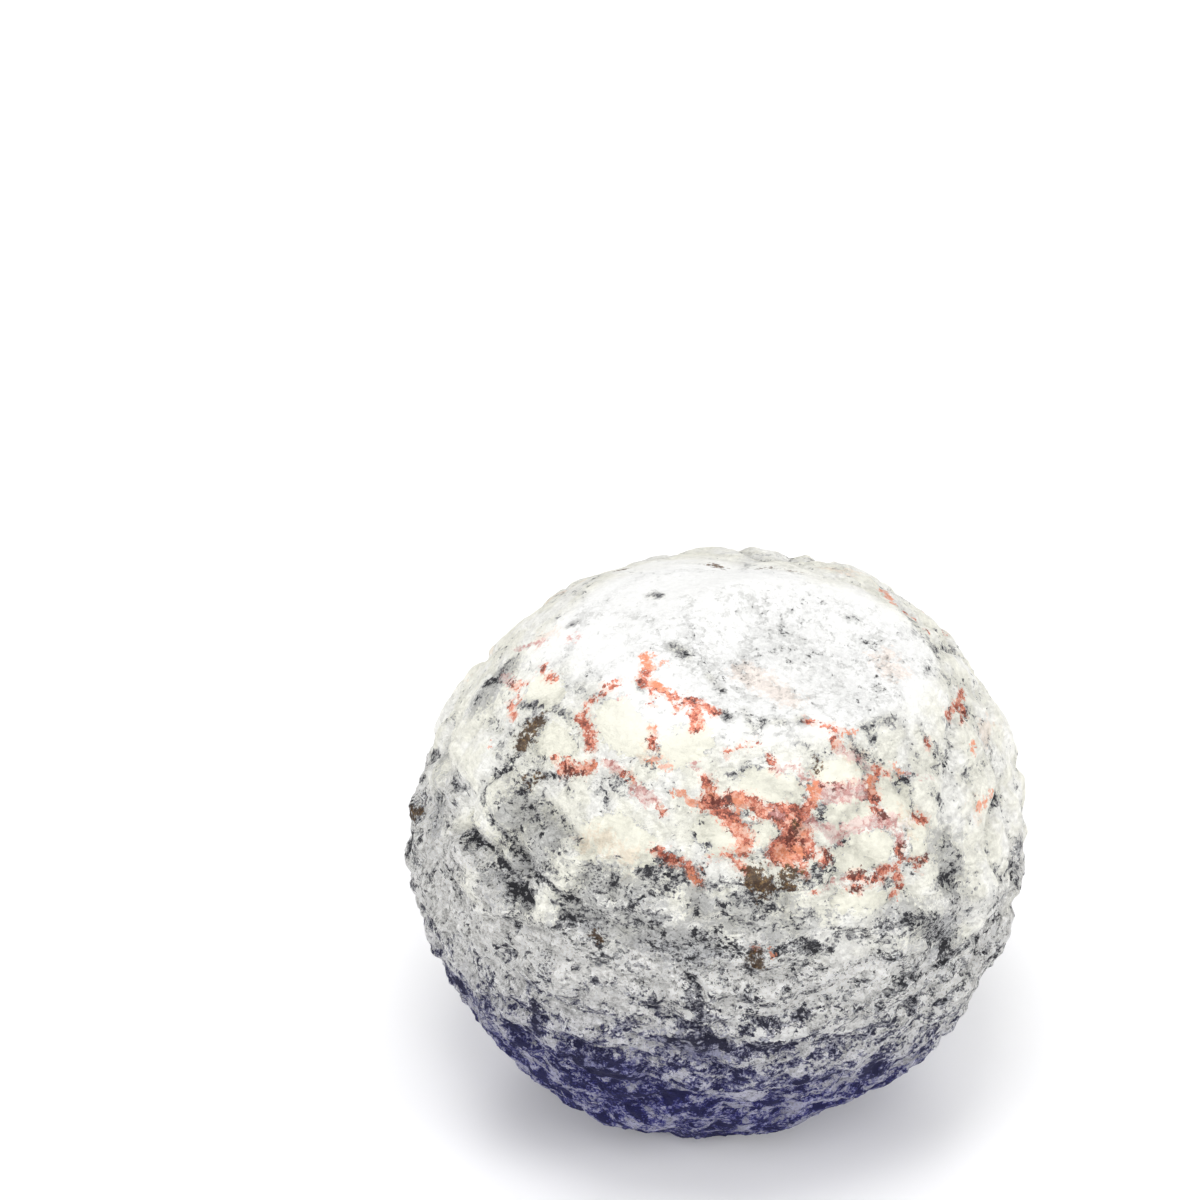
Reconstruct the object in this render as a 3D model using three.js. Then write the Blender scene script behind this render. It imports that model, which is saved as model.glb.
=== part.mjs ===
// Coconut geode: a whole, unbroken round volcanic nodule, as big as a fist.
// It grew as one piece, so it is one solid: a slightly flattened ball with a shallow dish in its smooth crown,
// a cobbled upper half, a belt line that steps in above a lower half of flat-lying slabs, and a small flat foot.
// Millimetres, +Z up. The origin is under the middle of the stone, on the surface that it stands on. -Y is the front.
// A place on the stone is a bearing, in degrees from the front towards the right, and an altitude above its equator.

import * as THREE from "three";

// Driving dimensions
const halfWidth = 49.7;
const halfDepth = 47.6;
const halfHeight = 46.5;
const crownLean = 18; // degrees that the flattened axis leans to the left
const footCut = 2.2; // how much of the ball's bottom is flattened into the foot
const meshSteps = 28; // grid squares along each side of the six-sided grid

// The broad swells and the smaller knobs that make the ball uneven
const swell = { across: 34, tall: 34, lift: 1.5, seed: 351 };
const knob = { across: 13, tall: 13, lift: 0.8, seed: 23 };

// The cobbles of the upper half and the flat-lying slabs of the lower one: raised blocks with sunken joints
const cobble = { across: 11.5, tall: 11.5, lift: 0.6, joint: 0.32, seed: 5 };
const slab = { across: 13, tall: 7, lift: 0.5, joint: 0.4, seed: 17 };

// The rounded bands of the lower half, longer than they are tall, with creases between them
const band = { across: 19, tall: 7, lift: 1.5, even: 0.22, seed: 31 };

// The smooth crown: inner and outer are where it starts and stops to fade, and calm is how much it quietens the knobs
const crown = { at: [-8, 80], half: [27, 23], turn: -12, inner: 0.95, outer: 1.7, calm: 0.6 };

// The dish in the crown: a dip with a flat floor, a soft raised rim and a low mound to the right of its middle
const dish = { at: [44, 69], half: [20.5, 14.5], turn: -20, depth: 3.0, floor: 0.35, edge: 1.02 };
const dishRim = { reach: 1.12, width: 0.2, lift: 0.7 };
const dishMound = { name: "dish mound", at: [52, 67], half: [9, 8], turn: 0, lift: 0.8 };

// Round or oval hollows, with a negative lift, and lumps. half is each one's half length and half height.
const patches = [
  { name: "left hollow", at: [-41, 32], half: [10, 8], turn: 35, lift: -1.7 },
  { name: "left lower hollow", at: [-44, 14], half: [8, 5], turn: 20, lift: -0.7 },
  { name: "left pale lump", at: [-55, 13], half: [8, 7], turn: 0, lift: 0.9 },
  { name: "left brow", at: [-68, 33], half: [9, 11], turn: 0, lift: 0.4 },
  { name: "front shoulder", at: [-12, 38], half: [14, 9], turn: 0, lift: 0.8 },
  { name: "rust hollow", at: [10, 28], half: [9, 6], turn: 0, lift: -0.9 },
  { name: "front lump", at: [9, 5], half: [6.5, 3.6], turn: -8, lift: 0.9 },
  { name: "front low lump", at: [8, -3], half: [7, 3.4], turn: 6, lift: 0.8 },
  { name: "front toe", at: [3, -18], half: [10, 4.5], turn: 0, lift: 1.1 },
  { name: "right corner", at: [54, -9], half: [8, 7], turn: 0, lift: 1.2 },
  { name: "right notch", at: [62, 0], half: [7, 5], turn: 0, lift: -1.1 },
  { name: "right flank dent", at: [72, 16], half: [9, 10], turn: 0, lift: -0.9 },
  { name: "left flank lump", at: [-84, -8], half: [14, 12], turn: 0, lift: 1.3 },
  { name: "crown top flat", at: [158, 66], half: [18, 15], turn: 0, lift: -0.9 },
  { name: "crown notch", at: [168, 73], half: [4.5, 6], turn: 0, lift: -1.0 },
  { name: "back hollow", at: [158, 12], half: [13, 8], turn: 25, lift: -1.7 },
  { name: "back brow", at: [172, 34], half: [12, 6], turn: -10, lift: 1.2 },
  { name: "right rear hollow", at: [112, 26], half: [9, 6], turn: -30, lift: -1.2 },
  { name: "left rear dent", at: [-122, 8], half: [9, 10], turn: 15, lift: -1.2 },
  { name: "left rear lump", at: [-140, 30], half: [8, 7], turn: 0, lift: 0.9 },
];

// Lines across the stone, each a run of bearings and altitudes: creases are cut in, folds stand up
const lines = [
  { name: "left gully", path: [[-64, 23], [-58, 21.5], [-50, 21], [-43, 20]], half: 3.4, lift: -1.6 },
  { name: "second gully", path: [[-40, 23], [-33, 21.5], [-26, 18]], half: 3.0, lift: -1.1 },
  { name: "left fold", path: [[-62, 42], [-58, 35], [-51, 28.5], [-42, 27]], half: 4.2, lift: 0.8 },
  { name: "pale fold", path: [[-62, 16], [-52, 12], [-40, 11]], half: 4.4, lift: 0.5 },
  { name: "front crease", path: [[3, 8.5], [9, 8.6], [15, 9.5]], half: 2.6, lift: -0.9 },
  { name: "low crease", path: [[2, -1], [9, 1.2], [16, 0]], half: 2.6, lift: -0.9 },
  { name: "back gully", path: [[132, 24], [144, 17], [158, 16], [170, 21]], half: 3.2, lift: -1.5 },
];

// The belt line, where the upper half stands out over the lower one: its altitude at each bearing round the stone.
// It wavers, and step is how far it stands out within lip on either side. The two halves' looks blend over blend.
const belt = {
  altitudes: [[-180, 10], [-110, 14], [-66, 22], [-30, 18], [0, 19], [30, 15], [65, 5], [120, 2], [180, 10]],
  step: 0.9,
  lip: 2.4,
  blend: 4,
};
const waver = { across: 9, tall: 9, lift: 1.5, seed: 71 };

const radians = Math.PI / 180;
const outOfReach = 9;

// The unit direction of a bearing and an altitude
function toward([bearing, altitude]) {
  const level = Math.cos(altitude * radians);
  return new THREE.Vector3(
    Math.sin(bearing * radians) * level,
    -Math.cos(bearing * radians) * level,
    Math.sin(altitude * radians),
  );
}

// Rises smoothly from 0 at low to 1 at high
function ramp(low, high, value) {
  const t = Math.min(1, Math.max(0, (value - low) / (high - low)));
  return t * t * (3 - 2 * t);
}

// A bell of the given width round a reach, 1 at its middle
function bell(value, { reach, width }) {
  return Math.exp(-(((value - reach) / width) ** 2));
}

// A repeatable random number from 0 to 1 for each whole-numbered place
function scatter(i, j, k, seed) {
  let h = Math.imul(i, 374761393) + Math.imul(j, 668265263) + Math.imul(k, 1103515245) + Math.imul(seed, 1274126177);
  h = Math.imul(h ^ (h >>> 13), 1274126177);
  h = Math.imul(h ^ (h >>> 16), 668265263);
  return ((h ^ (h >>> 15)) >>> 0) / 4294967296;
}

// Smooth random slopes on a lattice as wide as across and as high as tall, from about -1 to 1
function cloud(p, { across, tall, seed }) {
  const place = [p.x / across, p.y / across, p.z / tall];
  const cell = place.map(Math.floor);
  const from = place.map((value, axis) => value - cell[axis]);
  const ease = from.map((t) => t * t * t * (t * (t * 6 - 15) + 10));
  let sum = 0;
  for (let corner = 0; corner < 8; corner++) {
    const step = [corner & 1, (corner >> 1) & 1, corner >> 2];
    const node = step.map((s, axis) => cell[axis] + s);
    let slope = 0;
    let weight = 1;
    for (let axis = 0; axis < 3; axis++) {
      slope += (2 * scatter(...node, seed + axis) - 1) * (from[axis] - step[axis]);
      weight *= step[axis] ? ease[axis] : 1 - ease[axis];
    }
    sum += slope * weight;
  }
  return 1.6 * sum;
}

// Blocks round one random point in each lattice cell: 1 on a block, falling to -1 in the joint between two
function blocks(p, { across, tall, joint, seed }) {
  const place = [p.x / across, p.y / across, p.z / tall];
  const cell = place.map(Math.floor);
  let first = outOfReach;
  let second = outOfReach;
  for (let near = 0; near < 27; near++) {
    const c = [cell[0] + (near % 3) - 1, cell[1] + (Math.floor(near / 3) % 3) - 1, cell[2] + Math.floor(near / 9) - 1];
    const gap = Math.hypot(...c.map((corner, axis) => corner + scatter(...c, seed + axis) - place[axis]));
    second = Math.min(second, Math.max(first, gap));
    first = Math.min(first, gap);
  }
  return 2 * ramp(0, joint, second - first) - 1;
}

// How far p is from the middle of an oval, where 1 is its edge. The far side of the stone is out of reach.
function ovalReach(p, { at, half, turn }) {
  const out = toward(at);
  if (p.dot(out) <= 0) return outOfReach;
  const across = new THREE.Vector3(-out.y, out.x, 0).normalize();
  const along = new THREE.Vector3().crossVectors(out, across);
  const u = p.dot(across);
  const v = p.dot(along);
  const c = Math.cos(turn * radians);
  const s = Math.sin(turn * radians);
  return Math.hypot((u * c + v * s) / half[0], (v * c - u * s) / half[1]);
}

// How far p is from a run of places on the stone, in millimetres, measured at p's own distance from the centre
function lineReach(p, { path }) {
  const radius = p.length();
  let reach = Infinity;
  for (let n = 1; n < path.length; n++) {
    const start = toward(path[n - 1]).multiplyScalar(radius);
    const end = toward(path[n]).multiplyScalar(radius);
    const closest = new THREE.Line3(start, end).closestPointToPoint(p, true, new THREE.Vector3());
    reach = Math.min(reach, closest.distanceTo(p));
  }
  return reach;
}

// Height above the belt line, in millimetres along the surface: positive on the cobbled half
function aboveBelt(p) {
  const bearing = Math.atan2(p.x, -p.y) / radians;
  const next = belt.altitudes.findIndex(([b]) => b >= bearing);
  const after = next < 1 ? 1 : next;
  const [b0, a0] = belt.altitudes[after - 1];
  const [b1, a1] = belt.altitudes[after];
  const level = a0 + ((a1 - a0) * (bearing - b0)) / (b1 - b0);
  const altitude = Math.asin(p.z / p.length()) / radians;
  return (altitude - level) * radians * p.length() + waver.lift * cloud(p, waver);
}

// The plain flattened ball, leaning to the left
function ball(direction) {
  const axes = direction.clone().applyAxisAngle(new THREE.Vector3(0, 1, 0), crownLean * radians);
  return direction.clone().divideScalar(Math.hypot(axes.x / halfWidth, axes.y / halfDepth, axes.z / halfHeight));
}

function patchLift(p, patch) {
  return patch.lift * bell(ovalReach(p, patch), { reach: 0, width: 0.85 });
}

function dishLift(p) {
  const reach = ovalReach(p, dish);
  const dip = -dish.depth * (1 - ramp(dish.floor, dish.edge, reach));
  return dip + dishRim.lift * bell(reach, dishRim) + patchLift(p, dishMound);
}

function lineLift(p, line) {
  return line.lift * bell(lineReach(p, line), { reach: 0, width: line.half });
}

// How far the surface stands out from the plain ball at p
function relief(p) {
  const onCrown = 1 - ramp(crown.inner, crown.outer, ovalReach(p, crown));
  const height = aboveBelt(p);
  const upper = ramp(-belt.blend, belt.blend, height);
  const lower = 1 - upper;

  let lift = swell.lift * cloud(p, swell);
  lift += (1 - crown.calm * onCrown) * knob.lift * cloud(p, knob);
  lift += upper * (1 - onCrown) * cobble.lift * blocks(p, cobble);
  lift += lower * slab.lift * blocks(p, slab);
  lift += lower * band.lift * (Math.abs(cloud(p, band)) - band.even);
  lift += belt.step * (ramp(-belt.lip, belt.lip, height) - 0.5);
  lift += dishLift(p);
  for (const patch of patches) lift += patchLift(p, patch);
  for (const line of lines) lift += lineLift(p, line);
  return lift;
}

// A point of the finished surface. What would reach below the foot is pressed flat.
function surface(direction) {
  const p = ball(direction);
  p.addScaledVector(direction, relief(p));
  p.z = Math.max(0, p.z + halfHeight - footCut);
  return p;
}

// A closed ball of triangles: the six sides of a cube of grid squares, spread evenly over a sphere and laid on the stone
function stoneGeometry() {
  const cube = new THREE.BoxGeometry(2, 2, 2, meshSteps, meshSteps, meshSteps);
  const places = cube.attributes.position;
  const spread = (value) => Math.tan((value * Math.PI) / 4);
  for (let n = 0; n < places.count; n++) {
    const direction = new THREE.Vector3().fromBufferAttribute(places, n);
    direction.set(spread(direction.x), spread(direction.y), spread(direction.z)).normalize();
    const p = surface(direction);
    places.setXYZ(n, p.x, p.y, p.z);
  }
  cube.computeBoundingBox();
  const middle = cube.boundingBox.getCenter(new THREE.Vector3());
  cube.translate(-middle.x, -middle.y, 0);
  cube.computeVertexNormals();
  return cube;
}

const rind = new THREE.MeshStandardMaterial({ color: 0xc9c5b8, roughness: 0.95, metalness: 0 });
const geode = new THREE.Mesh(stoneGeometry(), rind);
geode.name = "geode";

const part = new THREE.Group();
part.add(geode);
export default part;
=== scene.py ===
"""Looks of the coconut geode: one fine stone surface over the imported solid, its rind, and a plain studio.

Lengths of the stone are in millimetres while its shape is worked out, and become metres in the mesh.
A place on the stone is a bearing, in degrees from the front to the right, and an altitude in degrees.
A place in the picture is a pixel of its 1200 by 1200 frame.
"""

import math

import bpy
import numpy as np
from mathutils import Matrix, Vector


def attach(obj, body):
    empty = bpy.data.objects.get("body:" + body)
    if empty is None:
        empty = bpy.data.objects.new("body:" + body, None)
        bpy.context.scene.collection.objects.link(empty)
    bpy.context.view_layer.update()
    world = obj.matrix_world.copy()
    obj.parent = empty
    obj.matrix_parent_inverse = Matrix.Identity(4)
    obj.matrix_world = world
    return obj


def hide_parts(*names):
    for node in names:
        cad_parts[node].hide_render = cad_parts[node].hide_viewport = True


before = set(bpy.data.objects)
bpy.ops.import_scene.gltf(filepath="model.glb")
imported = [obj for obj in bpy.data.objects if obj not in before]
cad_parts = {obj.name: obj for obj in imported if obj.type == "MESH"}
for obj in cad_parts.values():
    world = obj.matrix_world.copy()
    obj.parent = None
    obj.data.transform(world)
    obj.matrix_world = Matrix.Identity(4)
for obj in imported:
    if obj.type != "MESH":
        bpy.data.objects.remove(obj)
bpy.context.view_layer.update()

# Millimetres in a metre, a reach past every edge, and the least length to divide by
PER_METRE = 1000.0
FAR = 9.0
TINY = 1e-12

# Random numbers: the large odd numbers that mix a place and a seed
ODD = (374761393, 668265263, 1103515245, 1274126177)
CLOUD_GAIN = 1.6
OCTAVE = {"size": 0.5, "weight": 0.6, "seed": 7}

# The stone's main form, as in the solid
HALF_WIDTH = 49.7
HALF_DEPTH = 47.6
HALF_HEIGHT = 46.5
CROWN_LEAN = 18
FOOT_CUT = 2.2
SOLID_STEPS = 28
FINE_STEPS = 128
CHART = {"share": 0.96, "margin": 0.02}

SWELL = {"across": 34, "tall": 34, "lift": 1.5, "seed": 351}
KNOB = {"across": 13, "tall": 13, "lift": 0.8, "seed": 23}
COBBLE = {"across": 11.5, "tall": 11.5, "lift": 0.6, "joint": 0.32, "seed": 5}
SLAB = {"across": 13, "tall": 7, "lift": 0.5, "joint": 0.4, "seed": 17}
BAND = {"across": 19, "tall": 7, "lift": 1.5, "even": 0.22, "seed": 31}
WAVER = {"across": 9, "tall": 9, "lift": 1.5, "seed": 71}
CROWN = {"at": (-8, 80), "half": (27, 23), "turn": -12, "inner": 0.95, "outer": 1.7, "calm": 0.6}
DISH = {"at": (44, 69), "half": (20.5, 14.5), "turn": -20, "depth": 3.0, "floor": 0.35, "edge": 1.02}
DISH_RIM = {"reach": 1.12, "width": 0.2, "lift": 0.7}
DISH_MOUND = {"at": (52, 67), "half": (9, 8), "turn": 0, "lift": 0.8}
PATCH_WIDTH = 0.85

PATCHES = {
    "left hollow": {"at": (-41, 32), "half": (10, 8), "turn": 35, "lift": -1.7},
    "left lower hollow": {"at": (-44, 14), "half": (8, 5), "turn": 20, "lift": -0.7},
    "left pale lump": {"at": (-55, 13), "half": (8, 7), "turn": 0, "lift": 0.9},
    "left brow": {"at": (-68, 33), "half": (9, 11), "turn": 0, "lift": 0.4},
    "front shoulder": {"at": (-12, 38), "half": (14, 9), "turn": 0, "lift": 0.8},
    "rust hollow": {"at": (10, 28), "half": (9, 6), "turn": 0, "lift": -0.9},
    "front lump": {"at": (9, 5), "half": (6.5, 3.6), "turn": -8, "lift": 0.9},
    "front low lump": {"at": (8, -3), "half": (7, 3.4), "turn": 6, "lift": 0.8},
    "front toe": {"at": (3, -18), "half": (10, 4.5), "turn": 0, "lift": 1.1},
    "right corner": {"at": (54, -9), "half": (8, 7), "turn": 0, "lift": 1.2},
    "right notch": {"at": (62, 0), "half": (7, 5), "turn": 0, "lift": -1.1},
    "right flank dent": {"at": (72, 16), "half": (9, 10), "turn": 0, "lift": -0.9},
    "left flank lump": {"at": (-84, -8), "half": (14, 12), "turn": 0, "lift": 1.3},
    "crown top flat": {"at": (158, 66), "half": (18, 15), "turn": 0, "lift": -0.9},
    "crown notch": {"at": (168, 73), "half": (4.5, 6), "turn": 0, "lift": -1.0},
    "back hollow": {"at": (158, 12), "half": (13, 8), "turn": 25, "lift": -1.7},
    "back brow": {"at": (172, 34), "half": (12, 6), "turn": -10, "lift": 1.2},
    "right rear hollow": {"at": (112, 26), "half": (9, 6), "turn": -30, "lift": -1.2},
    "left rear dent": {"at": (-122, 8), "half": (9, 10), "turn": 15, "lift": -1.2},
    "left rear lump": {"at": (-140, 30), "half": (8, 7), "turn": 0, "lift": 0.9},
}

LINES = {
    "left gully": {"path": [(-64, 23), (-58, 21.5), (-50, 21), (-43, 20)], "half": 3.4, "lift": -1.6},
    "second gully": {"path": [(-40, 23), (-33, 21.5), (-26, 18)], "half": 3.0, "lift": -1.1},
    "left fold": {"path": [(-62, 42), (-58, 35), (-51, 28.5), (-42, 27)], "half": 4.2, "lift": 0.8},
    "pale fold": {"path": [(-62, 16), (-52, 12), (-40, 11)], "half": 4.4, "lift": 0.5},
    "front crease": {"path": [(3, 8.5), (9, 8.6), (15, 9.5)], "half": 2.6, "lift": -0.9},
    "low crease": {"path": [(2, -1), (9, 1.2), (16, 0)], "half": 2.6, "lift": -0.9},
    "back gully": {"path": [(132, 24), (144, 17), (158, 16), (170, 21)], "half": 3.2, "lift": -1.5},
}

BELT_ALTITUDES = [
    (-180, 10), (-110, 14), (-66, 22), (-30, 18), (0, 19), (30, 15), (65, 5), (120, 2), (180, 10),
]
BELT = {"step": 0.9, "lip": 2.4, "blend": 4}

# The finer relief that only the looks have. above is its share above the belt, and below what it gains.
PEBBLE = {"across": 5.6, "tall": 5.0, "lift": 0.12, "joint": 0.2, "uneven": 0.9, "seed": 47}
FLAKE = {"across": 6.4, "tall": 2.8, "lift": 0.10, "joint": 0.22, "uneven": 1.3, "seed": 83}
BREAK = {"across": 3.6, "tall": 2.6, "lift": 0.22, "above": 0.35, "below": 0.65, "seed": 61}
CHIP = {"across": 2.4, "tall": 1.7, "lift": 0.18, "above": 0.4, "below": 0.7, "seed": 101}
GRIT = {"across": 1.3, "tall": 1.3, "lift": 0.11, "above": 0.5, "below": 0.7, "seed": 131}
PIT = {"across": 3.2, "tall": 3.2, "depth": 0.55, "size": 0.2, "floor": 0.4, "few": (0.45, 0.6), "seed": 151}
VEIN_DEPTH = 0.3
PLATE_LIFT = 0.25
DRAWN_EDGE = {"calm": (-0.5, 0.5), "plate": (-0.4, 0.3), "vein": (-0.4, 0.4)}

# How much smoother drawn plates and the crown are
PLATE_CALM = 0.6
CROWN_CALM = {"relief": 0.85, "grit": 0.55}

# Pale plates of rind with darker, sunken rock between them: long and low below the belt, rounder above it
LOW_PLATES = {"across": 8.0, "tall": 4.0, "octaves": 4, "cover": 0.12, "seed": 301}
HIGH_PLATES = {"across": 9.0, "tall": 8.0, "octaves": 4, "cover": 0.35, "seed": 331}
PLATE_RISE = 0.34
PLATE_SLOPE = 0.12
ZONE_WAVER = {"across": 8, "tall": 6, "lift": 9, "blend": 6, "seed": 353}
BROAD_TONE = {"across": 15, "tall": 10, "lift": 0.10, "foot": 0.14, "seed": 223}
JOINT_TONE = {"across": 20, "tall": 20, "seed": 211}

# Paleness of the rock before its noise, from 0, black, to 1, white
CROWN_LEVEL = 0.74
DISH_LEVEL = 0.70
UPPER_LEVEL = 0.88
LOWER_LEVEL = 0.80
# The foot's low level is painted shade
FOOT_PAINTED_SHADE_LEVEL = 0.29

# Where the chalk and the dish's floor fade out, in the half sizes of the crown and the dish
CHALK_EDGE = (0.70, 1.15)
CHALK_WAVER = 0.3
DISH_CHALK = (0.95, 1.35)
DISH_FLOOR = (0.75, 1.1)

# Painted shade with painted blue reflected light on the foot, and darker painted shade on its sole:
# each fades in between two altitudes, lower on the right and towards the back
FOOT_PAINTED_SHADE_ALTITUDES = (12, -27)
SOLE_PAINTED_SHADE_ALTITUDES = (-30, -44)
FOOT_SHADE_LEAN = 9
FOOT_SHADE_TURN = {"lift": 25, "most": 0.8}

# What plates, joints, stains with painted shade, the painted shade of the sole and of crease cores, clean
# plates and haze do to the paleness, and to the strength of its noise
PLATE_TONE = {"below": 0.12, "above": 0.05}
# Painted shade on the sole
SOLE_PAINTED_SHADE_DROP = 0.28
# Painted shade in the cores of creases
CREASE_PAINTED_SHADE_DROP = 0.45
SEAM = {"width": 1.8, "cloud": (-0.5, 0.4), "drop": 0.16, "rough": 0.35}
STAIN_AND_SHADE = {"edge": (-0.9, 0.8), "drop": 0.38, "rough": 0.3}
PALE = {"edge": (-0.9, 0.7), "rough": 0.2}
HAZE = {"edge": (-1.5, 1.5), "crown": 0.7, "drop": 0.10, "rough": 0.4}
NOISE_CALM = {"above": 0.52, "crown": 0.22}

# Veins where the photograph doesn't show the stone, and how wide the turn from shown to hidden is
HIDDEN_RUST = {"cloud": 2.0, "lower": 3.0, "crown": 2.0, "thin": 0.3, "seen": 6}
HIDDEN_EDGE = (0.02, 0.25)
JOINT_SHARE = 0.6

# The camera: a long lens that looks down on the front of the stone
LENS = 100.0
SENSOR = 36.0
PICTURE = 1200
ELEVATION = 35.0
DISTANCE = 542.0
NEAREST = 0.01
PIXEL = SENSOR / PICTURE / LENS
STONE_CENTRE = (0.0, 0.0, 44.0)
CENTRE_PIXEL = (715.4, 841.3)

# Rust veins: half width in millimetres and a run of pixels
RUST_VEINS = {
    "crown edge": (
        0.65,
        [(645, 687), (656, 693), (668, 697), (676, 703), (688, 705), (700, 707), (714, 715)],
    ),
    "crown edge rise": (0.75, [(649, 666), (650, 676), (645, 686)]),
    "crown edge drop": (0.5, [(677, 702), (679, 714)]),
    "crown edge lump": (0.85, [(697, 713), (696, 732)]),
    "crown edge thread": (0.3, [(655, 693), (653, 709)]),
    "left loop top": (0.42, [(622, 690), (608, 691), (606, 699), (595, 705), (591, 707)]),
    "left loop side": (0.38, [(591, 707), (589, 717), (581, 722)]),
    "left loop low": (0.7, [(583, 722), (589, 730), (593, 738), (592, 750)]),
    "small drop": (0.5, [(656, 734), (655, 749)]),
    "left bar": (0.85, [(564, 768), (576, 770), (592, 768)]),
    "left bar lead": (0.3, [(556, 759), (563, 765)]),
    "left bar tail": (0.4, [(609, 764), (623, 773), (632, 778), (637, 787)]),
    "left bar end": (0.32, [(656, 803), (664, 813)]),
    "upper left tick": (0.42, [(547, 671), (547, 675)]),
    "upper left tick low": (0.48, [(552, 679), (558, 683)]),
    "upper left drop": (0.5, [(512, 706), (518, 719)]),
    "upper left rise": (0.28, [(515, 686), (521, 694), (522, 703)]),
    "upper left dash": (0.28, [(522, 686), (531, 687)]),
    "middle tick": (0.28, [(728, 754), (743, 749), (757, 748)]),
    "middle line": (0.35, [(768, 761), (771, 766), (776, 772)]),
    "right tick": (0.35, [(808, 725), (818, 728), (827, 733), (836, 736)]),
    "right blob": (0.6, [(829, 741), (832, 746)]),
    "right speck": (0.42, [(924, 744), (925, 750)]),
    "far right star": (0.6, [(960, 692), (959, 702), (964, 711)]),
    "far right arm": (0.48, [(959, 704), (951, 711), (945, 717)]),
    "far right thread": (0.25, [(960, 713), (959, 724)]),
    "rim dash": (0.25, [(905, 614), (916, 621)]),
    "rim dot": (0.32, [(923, 636), (924, 638)]),
    "rim high dot": (0.32, [(899, 595), (901, 598)]),
    "rim brown": (0.42, [(961, 661), (966, 667)]),
    "main start": (1.0, [(707, 784), (710, 791), (713, 798)]),
    "main top": (
        1.15,
        [(706, 802), (715, 803), (723, 802), (733, 799), (741, 799), (749, 802), (756, 806), (765, 812)],
    ),
    "main inner": (0.5, [(757, 815), (764, 817), (771, 819)]),
    "main left drop": (1.15, [(720, 811), (727, 819), (733, 826), (741, 832), (743, 841), (743, 850)]),
    "main left foot": (0.33, [(729, 853), (721, 855), (714, 856), (708, 858)]),
    "main left tail": (0.45, [(731, 857), (737, 862), (742, 867), (746, 870)]),
    "main rise": (0.9, [(800, 815), (808, 807), (813, 799), (815, 790)]),
    "main body": (2.4, [(788, 818), (798, 826), (796, 838)]),
    "main top right": (1.1, [(765, 812), (778, 815), (792, 817)]),
    "main low": (2.1, [(782, 852), (792, 851), (800, 848)]),
    "main toe": (0.45, [(803, 862), (803, 871)]),
    "main far": (0.5, [(823, 851), (826, 858), (821, 862)]),
    "upper bar edge": (0.36, [(817, 786), (826, 785), (837, 787), (852, 786), (866, 783)]),
    "upper bar joint": (0.7, [(868, 780), (869, 790), (871, 799), (871, 807), (875, 815), (880, 818)]),
    "upper bar spur": (0.42, [(872, 769), (878, 772), (885, 773)]),
    "right post": (
        0.6,
        [(896, 842), (896, 853), (898, 860), (896, 868), (896, 877), (897, 886), (892, 894)],
    ),
    "lower bar": (0.52, [(891, 868), (882, 869), (877, 876), (868, 880)]),
    "lower bar left": (0.42, [(868, 880), (858, 877), (848, 878)]),
    "lower bar tail": (0.35, [(847, 886), (853, 889)]),
    "twig": (0.25, [(902, 858), (909, 859), (924, 858)]),
    "twig blob": (0.45, [(915, 860), (915, 864)]),
    "upper twig": (0.38, [(912, 817), (917, 819), (922, 822)]),
    "lower left run": (0.55, [(658, 850), (670, 861), (684, 861), (690, 869), (698, 882)]),
    "low speck": (0.4, [(755, 946), (757, 948)]),
    "low bit": (0.3, [(811, 891), (813, 892)]),
}

# The dark hearts of the rust
RUST_HEARTS = {
    "main": (0.75, [(791, 829), (790, 837)]),
    "main right": (0.45, [(796, 839), (799, 840)]),
    "left bar": (0.5, [(576, 773), (584, 774)]),
    "left bar west": (0.45, [(566, 772), (572, 773)]),
    "upper bar edge": (0.25, [(824, 786), (836, 786)]),
    "joint end": (0.4, [(877, 815), (880, 818)]),
    "post": (0.4, [(896, 845), (896, 853)]),
    "lower bar": (0.45, [(864, 874), (869, 879)]),
    "lower bar left": (0.35, [(852, 875), (857, 874)]),
    "lower bar tail": (0.3, [(850, 887), (853, 889)]),
    "main far": (0.4, [(826, 852), (826, 858)]),
    "small drop": (0.35, [(655, 742), (655, 747)]),
    "twig": (0.3, [(920, 859), (925, 857)]),
    "upper left": (0.4, [(513, 685), (516, 684)]),
    "main top": (0.5, [(714, 801), (719, 803)]),
}

# Bright orange places in and beside the rust
ORANGE_BITS = {
    "crown edge patch": (0.8, [(649, 664), (649, 672)]),
    "crown edge run": (0.45, [(656, 690), (670, 697)]),
    "crown dot": (0.32, [(667, 668), (669, 668)]),
    "wedge": (0.55, [(655, 761), (663, 765), (670, 769)]),
    "drop head": (0.35, [(656, 732), (656, 736)]),
    "left bar": (0.55, [(586, 767), (591, 767)]),
    "main start": (0.5, [(709, 790), (712, 794)]),
    "main top": (0.85, [(739, 801), (744, 806)]),
    "main drop": (0.55, [(734, 827), (741, 834)]),
    "main drop low": (0.55, [(742, 846), (743, 850)]),
    "main low": (1.0, [(780, 854), (788, 857)]),
    "main low right": (0.8, [(797, 850), (800, 852)]),
    "main right": (0.5, [(798, 832), (805, 833)]),
    "upper bar end": (0.65, [(811, 788), (815, 793), (815, 800)]),
    "joint head": (0.5, [(868, 780), (868, 787)]),
    "spur": (0.5, [(893, 770), (899, 774)]),
    "tick end": (0.3, [(840, 737), (852, 734)]),
    "right": (0.45, [(970, 746), (968, 753)]),
    "far right": (0.5, [(975, 807), (983, 803), (990, 797)]),
    "top rim": (0.6, [(880, 592), (887, 598), (892, 605)]),
    "hollow dot": (0.35, [(492, 747), (493, 748)]),
    "low dot": (0.4, [(771, 951), (772, 952)]),
    "middle bits": (0.3, [(672, 797), (685, 795)]),
    "middle bits low": (0.32, [(690, 801), (697, 805)]),
    "left edge": (0.4, [(691, 873), (696, 881)]),
}

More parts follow.
